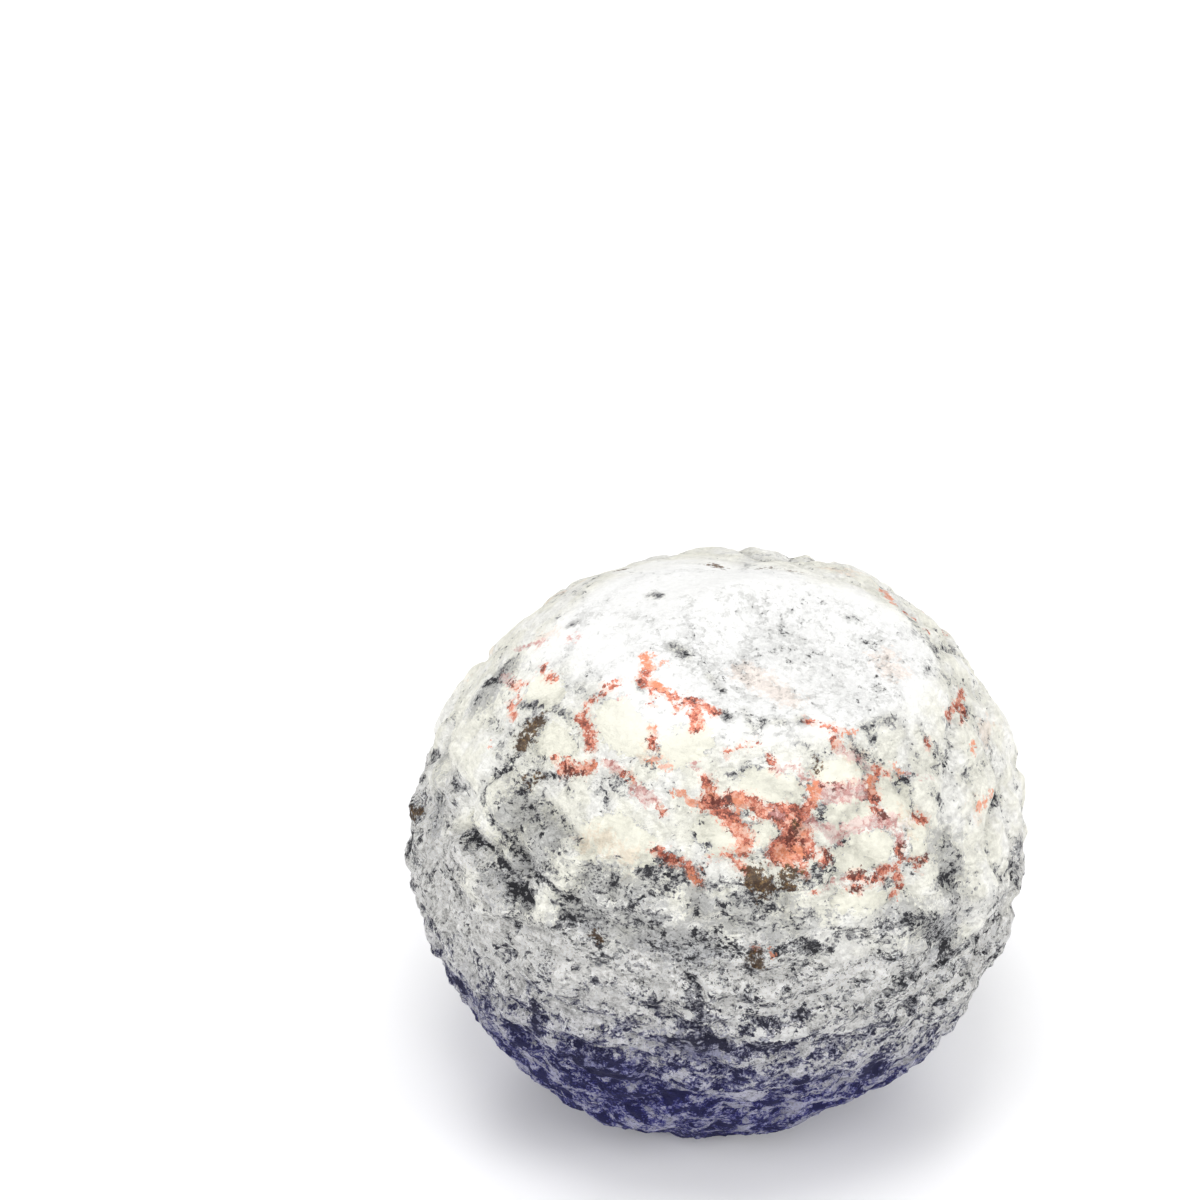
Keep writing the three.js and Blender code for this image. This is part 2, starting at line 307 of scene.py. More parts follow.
# Pink and mauve places in and beside the rust
MAUVE_PATCHES = {
    "upper bar": (1.35, [(822, 794), (840, 794), (858, 791)]),
    "main top": (0.4, [(771, 813), (781, 816)]),
    "main right": (0.8, [(810, 823), (816, 826)]),
    "middle bar": (
        0.95,
        [(822, 830), (831, 833), (841, 832), (850, 828), (858, 824), (866, 822), (880, 822), (889, 820)],
    ),
    "middle bar low": (0.5, [(828, 840), (836, 842)]),
    "bar tail": (1.0, [(640, 792), (648, 798), (653, 802)]),
    "bar tail head": (0.7, [(611, 766), (619, 770)]),
    "middle line": (0.42, [(776, 771), (784, 770), (798, 768)]),
    "middle line end": (0.35, [(799, 772), (807, 778), (812, 784)]),
    "lower bar left": (0.5, [(827, 888), (831, 885)]),
    "lower bar thread": (0.3, [(833, 882), (840, 880)]),
    "post head": (0.55, [(895, 835), (896, 841)]),
    "upper left band": (0.8, [(505, 677), (513, 683)]),
    "small mauve": (0.4, [(692, 767), (697, 768)]),
    "branch": (0.42, [(839, 753), (848, 758), (857, 763), (866, 768)]),
    "thread": (0.2, [(902, 774), (912, 778), (928, 780)]),
    "upper left line": (0.35, [(518, 653), (534, 650), (551, 646)]),
    "salmon patch": (0.8, [(573, 644), (580, 642)]),
    "left upper bit": (0.3, [(625, 703), (630, 704)]),
}

# Peach blushes
BLUSHES = {
    "dish front": (2.0, [(748, 668), (775, 682), (790, 692)]),
    "dish right": (1.7, [(885, 656), (892, 674)]),
    "left rim": (0.9, [(534, 612), (556, 597), (580, 586)]),
    "left far rim": (0.9, [(467, 672), (484, 646)]),
    "upper left": (1.1, [(545, 645), (556, 641)]),
    "left shoulder": (1.1, [(588, 838), (612, 842), (630, 858)]),
    "rim right": (0.9, [(826, 568), (843, 574), (857, 578)]),
    "branch": (1.0, [(846, 757), (858, 762)]),
    "right": (1.4, [(987, 725), (984, 740)]),
    "far right": (0.8, [(973, 808), (977, 815)]),
    "below spur": (1.2, [(886, 823), (906, 820)]),
    "drop foot": (1.0, [(650, 758), (661, 763)]),
    "joint head": (1.0, [(808, 782), (812, 786)]),
}

# Places where the rock is darker: real stains, and painted shade where named shade, along the creases
# and under the belt's ledge. Each has a half width in millimetres and a run of pixels
DARK_STAINS_AND_SHADE = {
    "crown chip": (0.8, [(653, 597), (660, 598)]),
    "crown chip low": (0.7, [(674, 650), (686, 655)]),
    "crown freckles": (0.25, [(708, 673), (716, 682), (724, 689)]),
    "crown streak": (0.8, [(592, 586), (602, 578)]),
    "rim stain left": (0.7, [(724, 716), (727, 720)]),
    "rim stains": (0.5, [(743, 712), (753, 733), (764, 724), (784, 726)]),
    "rim stain right": (0.7, [(797, 723), (803, 723)]),
    "dish rim right": (0.55, [(858, 732), (868, 729), (886, 723)]),
    "dish rim drop": (0.7, [(867, 733), (868, 744)]),
    "right stain": (0.8, [(856, 753), (866, 757), (876, 762)]),
    "right stain low": (0.5, [(852, 769), (860, 772)]),
    "right edge stain": (0.7, [(915, 728), (919, 738)]),
    "far right stain": (1.0, [(931, 752), (942, 758)]),
    "right square": (0.7, [(903, 782), (905, 788)]),
    "right dash": (0.4, [(891, 776), (893, 781)]),
    "right edge": (1.6, [(998, 776), (1002, 796)]),
    "right specks": (0.8, [(926, 792), (932, 802), (940, 812)]),
    "upper left streak": (1.0, [(518, 663), (508, 672), (497, 680), (486, 690), (477, 702)]),
    "upper left band": (0.8, [(523, 707), (535, 708), (547, 705)]),
    "upper left specks": (0.6, [(560, 714), (570, 718), (577, 725)]),
    "upper left chip": (0.6, [(573, 632), (579, 629)]),
    "left loop fleck low": (0.6, [(641, 689), (644, 693)]),
    "left knot": (1.6, [(606, 787), (618, 785), (629, 786)]),
    "left knot tail": (0.5, [(611, 796), (611, 806)]),
    "left bar shade": (0.7, [(564, 783), (570, 792)]),
    # hollow crease, hollow arc, gully, gully threads, second gully and its spot: painted shadow along the
    # creases
    "hollow crease": (0.6, [(526, 783), (533, 777), (544, 776), (551, 774)]),
    "hollow arc": (
        0.75,
        [(512, 767), (499, 777), (489, 789), (489, 804), (495, 818), (502, 832), (512, 850), (520, 861)],
    ),
    "hollow clusters": (0.6, [(549, 864), (557, 871)]),
    "gully": (0.5, [(459, 832), (469, 840), (479, 846), (489, 855), (499, 865), (510, 876)]),
    "gully threads": (1.0, [(512, 886), (522, 896), (531, 903)]),
    "second gully": (0.4, [(530, 874), (545, 880), (556, 889), (566, 899), (576, 906)]),
    "second gully spot": (0.5, [(564, 916), (573, 924)]),
    "left rim": (1.2, [(429, 756), (431, 769)]),
    "left rim low": (1.2, [(414, 808), (413, 823), (411, 847)]),
    "middle patch": (2.3, [(652, 864), (665, 868), (676, 872)]),
    "middle spot": (0.6, [(667, 888), (673, 890)]),
    "navy bar": (0.9, [(709, 882), (722, 882), (738, 878)]),
    "navy side": (0.8, [(700, 864), (699, 873)]),
    "inclusion": (0.7, [(742, 812), (750, 812)]),
    "inclusion foot": (0.6, [(742, 824), (750, 827), (756, 824)]),
    "heart side": (0.8, [(776, 826), (774, 836)]),
    "heart foot": (0.5, [(766, 848), (767, 852)]),
    "bar shade": (1.1, [(818, 814), (826, 807)]),
    "fine line": (0.35, [(733, 779), (740, 772), (746, 768)]),
    "cross line": (0.45, [(812, 840), (821, 848)]),
    "cluster": (1.2, [(816, 870), (824, 876)]),
    "middle bar shade": (0.4, [(838, 844), (845, 846)]),
    "right flank low": (0.9, [(930, 884), (946, 876)]),
    # belt right and belt middle: painted shade under the belt's ledge
    "belt right": (0.9, [(903, 915), (925, 925), (950, 945)]),
    "belt middle": (1.0, [(700, 938), (745, 950), (790, 945), (828, 950)]),
    "belt right spot": (0.8, [(880, 951), (890, 952)]),
    "brown foot": (2.0, [(744, 890), (768, 894)]),
    "brown right": (1.2, [(790, 884), (806, 880)]),
    "low clusters": (1.4, [(580, 1060), (600, 1070), (618, 1075)]),
    "low middle clusters": (1.2, [(675, 1040), (706, 1044), (730, 1050)]),
    "left low clusters": (1.2, [(548, 958), (545, 976)]),
    "left low spot": (0.6, [(564, 914), (567, 914)]),
    "left spots": (0.6, [(446, 874), (450, 882)]),
    "right low spots": (0.6, [(949, 962), (958, 971)]),
}

# Places where the rind is clean and pale
PALE_PLATES = {
    "plate above the middle bar": (2.5, [(838, 818), (856, 810)]),
    "plate below the middle bar": (2.7, [(848, 858), (874, 846)]),
    "plate above the upper bar": (1.8, [(820, 774), (850, 774)]),
    "plate right of the joint": (2.4, [(887, 788), (896, 806)]),
    "plate right of the post": (2.0, [(915, 832), (914, 848)]),
    "plate above the main rust": (2.4, [(756, 784), (788, 792)]),
    "plate left of the main rust": (2.4, [(710, 832), (722, 842)]),
    "small plate": (1.4, [(758, 836), (767, 832)]),
    "lower plate": (1.5, [(842, 902), (878, 898)]),
    "left plate": (3.0, [(594, 842), (618, 832), (640, 848)]),
    "plate in the left loop": (3.2, [(618, 722), (634, 740)]),
    "plate right of the drop": (2.8, [(680, 752), (694, 744)]),
    "left upper plate": (2.6, [(552, 742), (566, 748)]),
    "left high plate": (2.2, [(540, 692), (556, 698)]),
    "fold": (0.4, [(461, 818), (474, 824), (486, 833), (500, 845)]),
    "left cream": (1.4, [(460, 846), (468, 862), (478, 882)]),
    "long strip": (0.6, [(473, 908), (492, 913), (512, 912), (538, 916), (559, 924)]),
    "low plate left": (1.7, [(562, 976), (604, 976)]),
    "low plate middle left": (1.4, [(640, 1036), (668, 1032)]),
    "low plate upper": (1.2, [(760, 998), (782, 998)]),
    "low plate middle": (1.3, [(762, 1034), (800, 1032)]),
    "low plate right": (1.7, [(832, 1030), (856, 1028)]),
    "low plate far right": (1.4, [(856, 972), (892, 968)]),
    "foot lump": (1.6, [(716, 1094), (758, 1096)]),
    "grain": (0.55, [(720, 821), (722, 821)]),
}

# Places with a grey haze of fine grains
GREY_HAZES = {
    "left hollow": (3.0, [(514, 812), (532, 824), (552, 838)]),
    "left hollow foot": (2.2, [(520, 850), (538, 862)]),
    "gully threads": (1.8, [(496, 872), (510, 888), (524, 900)]),
    "slate zone": (2.6, [(574, 908), (600, 918), (632, 926), (668, 940), (700, 948)]),
    "upper left": (2.2, [(478, 706), (492, 690), (508, 676)]),
    "shoulder": (1.8, [(594, 878), (624, 886), (652, 892)]),
    "left edge": (1.6, [(440, 760), (434, 790), (430, 820)]),
    "right flank": (2.4, [(944, 846), (950, 862), (946, 884)]),
    "right of the belt": (2.2, [(905, 912), (930, 925), (952, 940)]),
    "below the rust": (2.2, [(700, 902), (730, 912), (762, 918), (800, 924)]),
    "low left": (2.0, [(596, 1062), (622, 1072)]),
    "low middle": (2.0, [(676, 1046), (706, 1052)]),
    "dish mound": (4.2, [(776, 626), (800, 645), (826, 664)]),
    "dish foot": (1.6, [(846, 690), (868, 706)]),
}

# Broad places paler or darker than the rock around them: half width, lift of the level, and a run of pixels
BROAD_PLACES = {
    "left rim": (9.0, 0.28, [(424, 800), (430, 880), (455, 950)]),
    "left low": (8.0, 0.26, [(470, 925), (520, 960), (560, 985)]),
    "left foot": (5.0, 0.14, [(480, 1010), (520, 1050)]),
    "pale low": (6.0, 0.16, [(570, 975), (600, 990), (640, 975)]),
    "low middle": (7.0, -0.20, [(690, 1030), (740, 1035), (790, 1035)]),
    "slate zone": (6.0, -0.18, [(574, 908), (632, 926), (700, 948)]),
    "right low": (6.0, 0.12, [(860, 990), (930, 985)]),
    "right flank": (6.0, 0.05, [(860, 890), (950, 890)]),
    # Partly painted shade under the belt's ledge
    "belt right": (5.0, -0.22, [(810, 928), (870, 930), (925, 926)]),
    "dark foot": (6.0, -0.12, [(560, 1070), (640, 1092)]),
    "shoulder": (5.0, -0.24, [(592, 884), (640, 892), (690, 884)]),
}

# Brown and ochre spots
OCHRE_SPOTS = {
    "dark brown": (1.5, [(752, 876), (762, 886)]),
    "dark brown right": (1.0, [(786, 874), (792, 872)]),
    "yellow brown": (0.8, [(780, 883), (786, 884)]),
    "low yellow brown": (1.1, [(756, 956), (758, 963)]),
    "left low": (0.5, [(594, 937), (597, 940)]),
    "left ochre": (1.3, [(540, 724), (532, 732), (526, 742)]),
    "hollow crease": (0.45, [(527, 783), (534, 777)]),
    "top ring": (0.8, [(712, 558), (722, 557)]),
    "top brown": (0.6, [(763, 561), (768, 561)]),
    "top left": (0.5, [(618, 573), (627, 570)]),
    "top right": (0.4, [(793, 567), (801, 569)]),
    "pale dot": (0.4, [(814, 766), (815, 768)]),
    "left rim": (0.8, [(413, 815), (416, 808)]),
    "main side": (0.6, [(792, 823), (797, 824)]),
}

# Creases cut into the stone and folds raised on it: half width and lift in millimetres, and a run of pixels
FOLDS = {
    "gully": (
        1.9,
        -1.3,
        [(459, 832), (469, 840), (479, 846), (489, 855), (499, 865), (510, 876), (524, 893), (531, 903)],
    ),
    "gully floor": (3.0, -0.3, [(486, 862), (502, 880), (516, 896)]),
    "second gully": (1.3, -1.0, [(510, 872), (530, 874), (545, 880), (556, 889), (566, 899), (576, 906)]),
    "hollow arc": (
        1.6,
        -0.4,
        [(512, 767), (499, 777), (489, 789), (489, 804), (495, 818), (502, 832), (512, 850), (520, 861)],
    ),
    "hollow crease": (1.2, -0.7, [(526, 783), (533, 777), (544, 776), (551, 774)]),
    "left low crease": (1.4, -0.7, [(460, 972), (472, 983), (495, 996)]),
    "low left crease": (
        1.3,
        -0.8,
        [(646, 1012), (658, 1014), (667, 1022), (682, 1026), (698, 1032), (713, 1039)],
    ),
    "low loop": (
        1.3,
        -0.8,
        [(679, 970), (690, 980), (699, 990), (701, 1006), (713, 1009), (725, 1005), (741, 997)],
    ),
    "upper low crease": (1.3, -0.8, [(753, 991), (765, 986), (780, 982), (794, 983)]),
    "inner low crease": (
        1.3,
        -0.7,
        [(745, 1032), (753, 1025), (765, 1022), (780, 1019), (790, 1014), (808, 1027)],
    ),
    "long low crease": (
        1.6,
        -0.9,
        [(704, 1041), (741, 1043), (759, 1051), (778, 1053), (811, 1051), (860, 1043)],
    ),
    "right low crease": (1.4, -0.8, [(860, 1035), (894, 1031), (911, 1008), (935, 990)]),
    "right upper crease": (1.2, -0.6, [(858, 1006), (885, 994), (903, 974)]),
    "left shoulder crease": (1.2, -0.5, [(586, 796), (590, 820), (584, 846)]),
    "light fold": (2.2, 0.6, [(461, 818), (474, 824), (486, 833), (500, 845), (512, 860)]),
    "hollow lip": (1.8, 0.5, [(520, 790), (514, 806), (520, 824)]),
    "left cream": (2.4, 0.6, [(462, 846), (470, 862), (478, 880)]),
    "second fold": (1.6, 0.6, [(524, 866), (540, 870), (556, 880), (568, 890)]),
    "long strip": (1.8, 0.6, [(473, 908), (492, 913), (512, 912), (538, 916), (559, 924)]),
    "grain": (0.8, 0.5, [(720, 821), (722, 821)]),
}

# Ledges: half width of the raised side, lift, and a run of pixels with the raised side on its left
LEDGES = {
    "fold edge": (4.5, 0.75, [(512, 874), (499, 861), (489, 851), (479, 842), (469, 836), (458, 829)]),
    "second gully": (3.5, 0.6, [(578, 905), (566, 895), (556, 885), (545, 876), (530, 870)]),
}

STROKE_LIMIT = 8.0
LEDGE_EDGE = 0.7
# How near a crease's middle its painted shade reaches, in half widths
CREASE_SHADE_SHARE = 0.38

# Colours, each with the level of fine noise that it stands for where it is one of several tones
RUST_TONES = [
    (0.34, (0.10, 0.035, 0.03)),
    (0.43, (0.34, 0.085, 0.055)),
    (0.50, (0.62, 0.165, 0.10)),
    (0.57, (0.77, 0.29, 0.19)),
    (0.66, (0.87, 0.56, 0.45)),
]
CHALK = (0.77, 0.77, 0.76, 1)
PLATE = (0.745, 0.733, 0.635, 1)
CREAM = (0.83, 0.82, 0.735, 1)
IVORY = (0.87, 0.865, 0.825, 1)
LOW_PALE = (0.93, 0.92, 0.895, 1)
CROWN_GREY = (0.62, 0.62, 0.605, 1)
CROWN_FLECK = (0.55, 0.55, 0.54, 1)
UPPER_GREY = (0.46, 0.46, 0.455, 1)
LOWER_GREY = (0.42, 0.425, 0.445, 1)
SLATE = (0.115, 0.115, 0.13, 1)
SOOT = (0.026, 0.026, 0.032, 1)
CRYSTAL = (0.97, 0.97, 0.97, 1)
# Painted shade with painted blue reflected light, for the foot: its grey, its flecks and its deepest flecks
PAINTED_BLUE_SHADE_GREY = (0.16, 0.16, 0.38, 1)
PAINTED_BLUE_SHADE = (0.026, 0.026, 0.22, 1)
PAINTED_DEEP_BLUE_SHADE = (0.008, 0.008, 0.075, 1)
DARK_RUST = (0.13, 0.032, 0.025, 1)
ORANGE = (0.80, 0.29, 0.16, 1)
SALMON = (0.84, 0.47, 0.36, 1)
MAUVE = (0.58, 0.27, 0.25, 1)
PALE_MAUVE = (0.78, 0.62, 0.58, 1)
PEACH = (0.98, 0.84, 0.76, 1)
BROWN = (0.085, 0.050, 0.030, 1)
YELLOW_BROWN = (0.30, 0.175, 0.065, 1)

# Noises of the rind: size per millimetre, detail, roughness and warp
BROAD_NOISE = (0.22, 4.0, 0.6, 0.5)
SPECK_NOISE = (0.85, 3.0, 0.65, 0.5)
FINE_NOISE = (2.2, 2.0, 0.7, 0.3)
CREAM_NOISE = (0.16, 3.0)
SHADE_NOISE = (1.1, 4.0, 0.85)
RUST_NOISE = (0.8, 5.0, 0.85)
GRAIN_NOISE = (2.0, 4.0, 0.8)
CRUST_NOISE = (0.8, 6.0, 0.72, 0.4)
RAGGED_NOISE = (0.42, 2.0)
RAGGED_DETAIL = (4.0, 0.7)
BEDDING = (1.0, 1.0, 1.45)
GRAINS = {"noise": {"Scale": 1.3, "Detail": 2.0}, "shift": (2.0, 2.0, 2.0), "large": 0.55, "small": 1.5}

# Plates: how far specks tear their edge, the edge, the painted shadow line under it, where that is and how
# dark
RIND_PLATE = {
    "tear": 1.1,
    "edge": (-0.05, 0.05),
    "under": (-0.2, -0.08),
    "cloud": (-0.03, 0.04),
    "drop": 0.36,
}
CLEAN_PLATE = {
    "tear": 4.0,
    "edge": (-0.15, 0.1),
    "under": (-0.75, -0.35),
    "cloud": (-0.08, 0.02),
    "drop": 0.4,
    # In level, the first is painted shade at the foot, taken off the clean plate's paleness, the second
    "level": (-0.25, 0.92),
    "share": 0.75,
}

# How much each noise counts. In a pair, the first is what the lower half, or the foot with its painted
# shade, adds to the second.
WEIGHT = {
    "grains in specks": 0.38,
    "lower in sway": 0.5,
    "specks in area": 2.2,
    "sway in area": 3.0,
    "sway in cluster": (1.6, 1.9),
    "specks in dark": (-1.2, 3.6),
    "fine in dark": 1.5,
    "fine in dust": 4.0,
    "fine in crystal": 3.0,
    "specks in crystal": 2.0,
    "broad in haze": 1.2,
    "field in haze": 0.12,
    "speck in shade": (1.2, 1.3),
    "grains in shade": (0.65, 0.25),
    "grains in rust": 0.3,
}

# Masks: a limit and its soft edge, or where the mask starts and is full
LIMIT = {
    "grey": (0.54, 0.06),
    "dark": (0.29, 0.03),
    "black": (0.04, 0.05),
    "dust": (0.17, 0.04),
    "haze": (-0.02, 0.12),
    "crystal": (0.30, 0.42),
}

# Fine noise where one tone gives way to the next
EDGE = {"cream": (0.42, 0.62), "mauve": (0.42, 0.56), "orange": (0.44, 0.60), "earth": (0.50, 0.64)}

# Markings: coarse and fine raggedness and soft edge in millimetres, and grains per millimetre
MARKINGS = {
    "fringe": (2.6, 5.5, 0.4, 1.1),
    "vein": (1.9, 4.2, 0.12, 1.3),
    "mauve": (1.9, 4.8, 0.25, 1.3),
    "orange": (2.2, 5.0, 0.2, 1.3),
    "heart": (2.0, 6.0, 0.2, 1.5),
    "blush": (6.0, 9.0, 0.9, 1.3),
    "ochre": (3.0, 7.0, 0.4, 1.4),
}
FRINGE = 0.15

# How much each layer covers what is under it. For haze, the first is what the crown adds to the second.
COVER = {
    "plate on chalk": 0.8,
    "crystal": 0.8,
    "grey": 0.8,
    "haze": (-0.35, 0.62),
    # The foot's painted blue shade over the rock
    "foot": 0.65,
    "dust": 0.75,
    "dark": 0.85,
    "black": 0.9,
    "blush": 0.6,
    "fringe": 0.42,
    "vein": 0.95,
    "mauve": 0.85,
    "orange": 0.9,
    "heart": 0.9,
    "ochre": 0.95,
}

# The rind's small relief. For lower, the first is what the lower half adds to the second.
RELIEF = {"crust": 1.6, "grain": 1.1, "ridge": -0.9, "grains": 0.12, "crown": -0.5, "lower": (0.4, 0.75)}
BUMP_METRES = 0.001
MASK_LIFTS = {"plate": 0.3, "under": -0.2, "grey": -0.06, "dark": -0.12, "black": -0.07, "dust": -0.05}
ROUGHNESS = (0.25, 0.72)
SPECULAR = 0.3

# The studio: each lamp's place and size in metres, and its watts
LAMPS = {
    "overhead": ((-0.05, -0.25, 1.10), 0.4, 3.3),
    "key": ((0.10, -0.85, 1.05), 0.4, 1.0),
    "left fill": ((-1.30, -0.55, 0.6), 0.6, 9.4),
    "right fill": ((1.38, -0.55, 0.6), 0.6, 14.0),
    "low left fill": ((-0.90, -1.20, 0.15), 0.5, 4.5),
    "rear fill": ((0.0, 1.35, 0.7), 0.6, 7.0),
}
LAMP_TARGET = (0, 0, 0.045)
SURROUND = 0.56
FLOOR = {"half": 3.0, "colour": (0.96, 0.96, 0.965, 1), "roughness": 0.9}


def toward(at):
    """The unit direction of a bearing and an altitude in degrees, from their sines and cosines."""
    bearing, altitude = math.radians(at[0]), math.radians(at[1])
    level = math.cos(altitude)
    return np.array([math.sin(bearing) * level, -math.cos(bearing) * level, math.sin(altitude)])


def ramp(low, high, value):
    """Rises from 0 at low to 1 at high as 3 t squared less 2 t cubed."""
    t = np.clip((value - low) / (high - low), 0.0, 1.0)
    return t * t * (3.0 - 2.0 * t)


def bell(value, width, reach=0.0):
    """Falls off as e to the minus square of the distance from reach, in widths."""
    return np.exp(-(((value - reach) / width) ** 2))


def scatter(cells, seed):
    """A repeatable number from 0 to 1 for each whole-numbered place, by products with odd numbers."""
    c = cells.astype(np.int64)
    mixed = c[..., 0] * ODD[0] + c[..., 1] * ODD[1] + c[..., 2] * ODD[2] + seed * ODD[3]
    h = (mixed & 0xFFFFFFFF).astype(np.uint32)
    h = (h ^ (h >> np.uint32(13))) * np.uint32(ODD[3])
    h = (h ^ (h >> np.uint32(16))) * np.uint32(ODD[1])
    return (h ^ (h >> np.uint32(15))) / 2.0**32


def lattice(p, look):
    """Points in units of a lattice that is as wide as across and as high as tall."""
    return p / np.array([look["across"], look["across"], look["tall"]])


def three_numbers(cells, seed):
    """Three random numbers for each whole-numbered place, with seeds one apart."""
    return np.stack([scatter(cells, seed), scatter(cells, seed + 1), scatter(cells, seed + 2)], -1)


def near_cells(cell):
    """Each cell's 27 neighbours, itself among them."""
    for near in range(27):
        yield cell + np.array([near % 3 - 1, near // 3 % 3 - 1, near // 9 - 1])


def cloud(p, look):
    """Smooth random slopes, about -1 to 1: random planes at lattice corners in a fifth-power ease."""
    place = lattice(p, look)
    cell = np.floor(place)
    part = place - cell
    ease = part**3 * (part * (part * 6 - 15) + 10)
    total = np.zeros(p.shape[:-1])
    for corner in range(8):
        step = np.array([corner & 1, (corner >> 1) & 1, corner >> 2])
        slope = 0.0
        weight = 1.0
        for axis in range(3):
            tilt = 2 * scatter(cell + step, look["seed"] + axis) - 1
            slope = slope + tilt * (part[..., axis] - step[axis])
            weight = weight * (ease[..., axis] if step[axis] else 1 - ease[..., axis])
        total += slope * weight
    return CLOUD_GAIN * total


def fractal(p, look):
    """Clouds at one size and at each half of it, each weighing 0.6 times the one before."""
    total = 0.0
    for octave in range(look["octaves"]):
        finer = {name: look[name] * OCTAVE["size"] ** octave for name in ("across", "tall")}
        finer["seed"] = look["seed"] + OCTAVE["seed"] * octave
        total = total + OCTAVE["weight"] ** octave * cloud(p, finer)
    return total


def nearest_two(p, look):
    """Distances to the nearest two of one random point in each lattice cell, and the first's number."""
    place = lattice(p, look)
    first = np.full(p.shape[:-1], FAR)
    second = first.copy()
    number = np.zeros(p.shape[:-1])
    for c in near_cells(np.floor(place)):
        point = c + three_numbers(c, look["seed"])
        gap = np.linalg.norm(point - place, axis=-1)
        second = np.minimum(second, np.maximum(first, gap))
        number = np.where(gap < first, scatter(c, look["seed"] + 3), number)
        first = np.minimum(first, gap)
    return first, second, number


def blocks(p, look):
    """1 on a block, falling to -1 in the joint, where the nearest two random points are equally far."""
    first, second, _ = nearest_two(p, look)
    return 2 * ramp(0, look["joint"], second - first) - 1


def oval_reach(p, oval):
    """Distance from an oval's middle in the plane that faces out of it, in its half sizes. 1 is its edge."""
    out = toward(oval["at"])
    across = np.array([-out[1], out[0], 0.0])
    across /= np.linalg.norm(across)
    along = np.cross(out, across)
    u, v = p @ across, p @ along
    turn = math.radians(oval["turn"])
    c, s = math.cos(turn), math.sin(turn)
    reach = np.hypot((u * c + v * s) / oval["half"][0], (v * c - u * s) / oval["half"][1])
    return np.where(p @ out > 0, reach, FAR)


def run_reach(p, directions):
    """Distance to a run of straight stretches between unit directions, drawn at each point's own radius."""
    radius = np.linalg.norm(p, axis=-1, keepdims=True)
    reach = np.full(p.shape[:-1], np.inf)
    for start, end in zip(directions, directions[1:]):
        a = start * radius
        stretch = (end - start) * radius
        along = ((p - a) * stretch).sum(-1) / np.maximum((stretch**2).sum(-1), TINY)
        closest = a + stretch * np.clip(along, 0.0, 1.0)[..., None]
        reach = np.minimum(reach, np.linalg.norm(p - closest, axis=-1))
    return reach


def above_belt(p):
    """Height above the belt line along the surface, in millimetres, with a random waver."""
    bearing = np.degrees(np.arctan2(p[..., 0], -p[..., 1]))
    bearings, altitudes = np.array(BELT_ALTITUDES, float).T
    level = np.interp(bearing, bearings, altitudes)
    radius = np.linalg.norm(p, axis=-1)
    altitude = np.degrees(np.arcsin(p[..., 2] / radius))
    return np.radians(altitude - level) * radius + WAVER["lift"] * cloud(p, WAVER)


def ball(direction):
    """The flattened ball: each direction divided by its length in half sizes along the leaning axes."""
    lean = math.radians(CROWN_LEAN)
    x = direction[..., 0] * math.cos(lean) + direction[..., 2] * math.sin(lean)
    z = direction[..., 2] * math.cos(lean) - direction[..., 0] * math.sin(lean)
    size = np.sqrt((x / HALF_WIDTH) ** 2 + (direction[..., 1] / HALF_DEPTH) ** 2 + (z / HALF_HEIGHT) ** 2)
    return direction / size[..., None]


def patch_lift(p, patch):
    """A bell over an oval's reach, times its lift."""
    return patch["lift"] * bell(oval_reach(p, patch), PATCH_WIDTH)


def dish_lift(p):
    """A dip with a flat floor, plus a bell for its rim, plus a mound in it."""
    reach = oval_reach(p, DISH)
    dip = -DISH["depth"] * (1 - ramp(DISH["floor"], DISH["edge"], reach))
    rim = DISH_RIM["lift"] * bell(reach, DISH_RIM["width"], DISH_RIM["reach"])
    return dip + rim + patch_lift(p, DISH_MOUND)


def main_relief(p):
    """The solid's own relief: swells, knobs, cobbles or slabs, bands, belt step, dish, patches and lines."""
    on_crown = 1 - ramp(CROWN["inner"], CROWN["outer"], oval_reach(p, CROWN))
    height = above_belt(p)
    upper = ramp(-BELT["blend"], BELT["blend"], height)
    lower = 1 - upper
    lift = SWELL["lift"] * cloud(p, SWELL)
    lift += (1 - CROWN["calm"] * on_crown) * KNOB["lift"] * cloud(p, KNOB)
    lift += upper * (1 - on_crown) * COBBLE["lift"] * blocks(p, COBBLE)
    lift += lower * SLAB["lift"] * blocks(p, SLAB)
    lift += lower * BAND["lift"] * (np.abs(cloud(p, BAND)) - BAND["even"])
    lift += BELT["step"] * (ramp(-BELT["lip"], BELT["lip"], height) - 0.5)
    lift += dish_lift(p)
    for patch in PATCHES.values():
        lift += patch_lift(p, patch)
    for line in LINES.values():
        reach = run_reach(p, [toward(at) for at in line["path"]])
        lift += line["lift"] * bell(reach, line["half"])
    return lift, on_crown, upper


def broken_faces(p, look):
    """Broken rock: each place rises along the random slope of the nearest random point of a lattice."""
    place = lattice(p, look)
    nearest = np.full(p.shape[:-1], FAR)
    rise = np.zeros(p.shape[:-1])
    for c in near_cells(np.floor(place)):
        aside = place - c - three_numbers(c, look["seed"])
        slope = 2 * three_numbers(c, look["seed"] + 3) - 1
        gap = np.linalg.norm(aside, axis=-1)
        rise = np.where(gap < nearest, (aside * slope).sum(-1), rise)
        nearest = np.minimum(nearest, gap)
    return rise


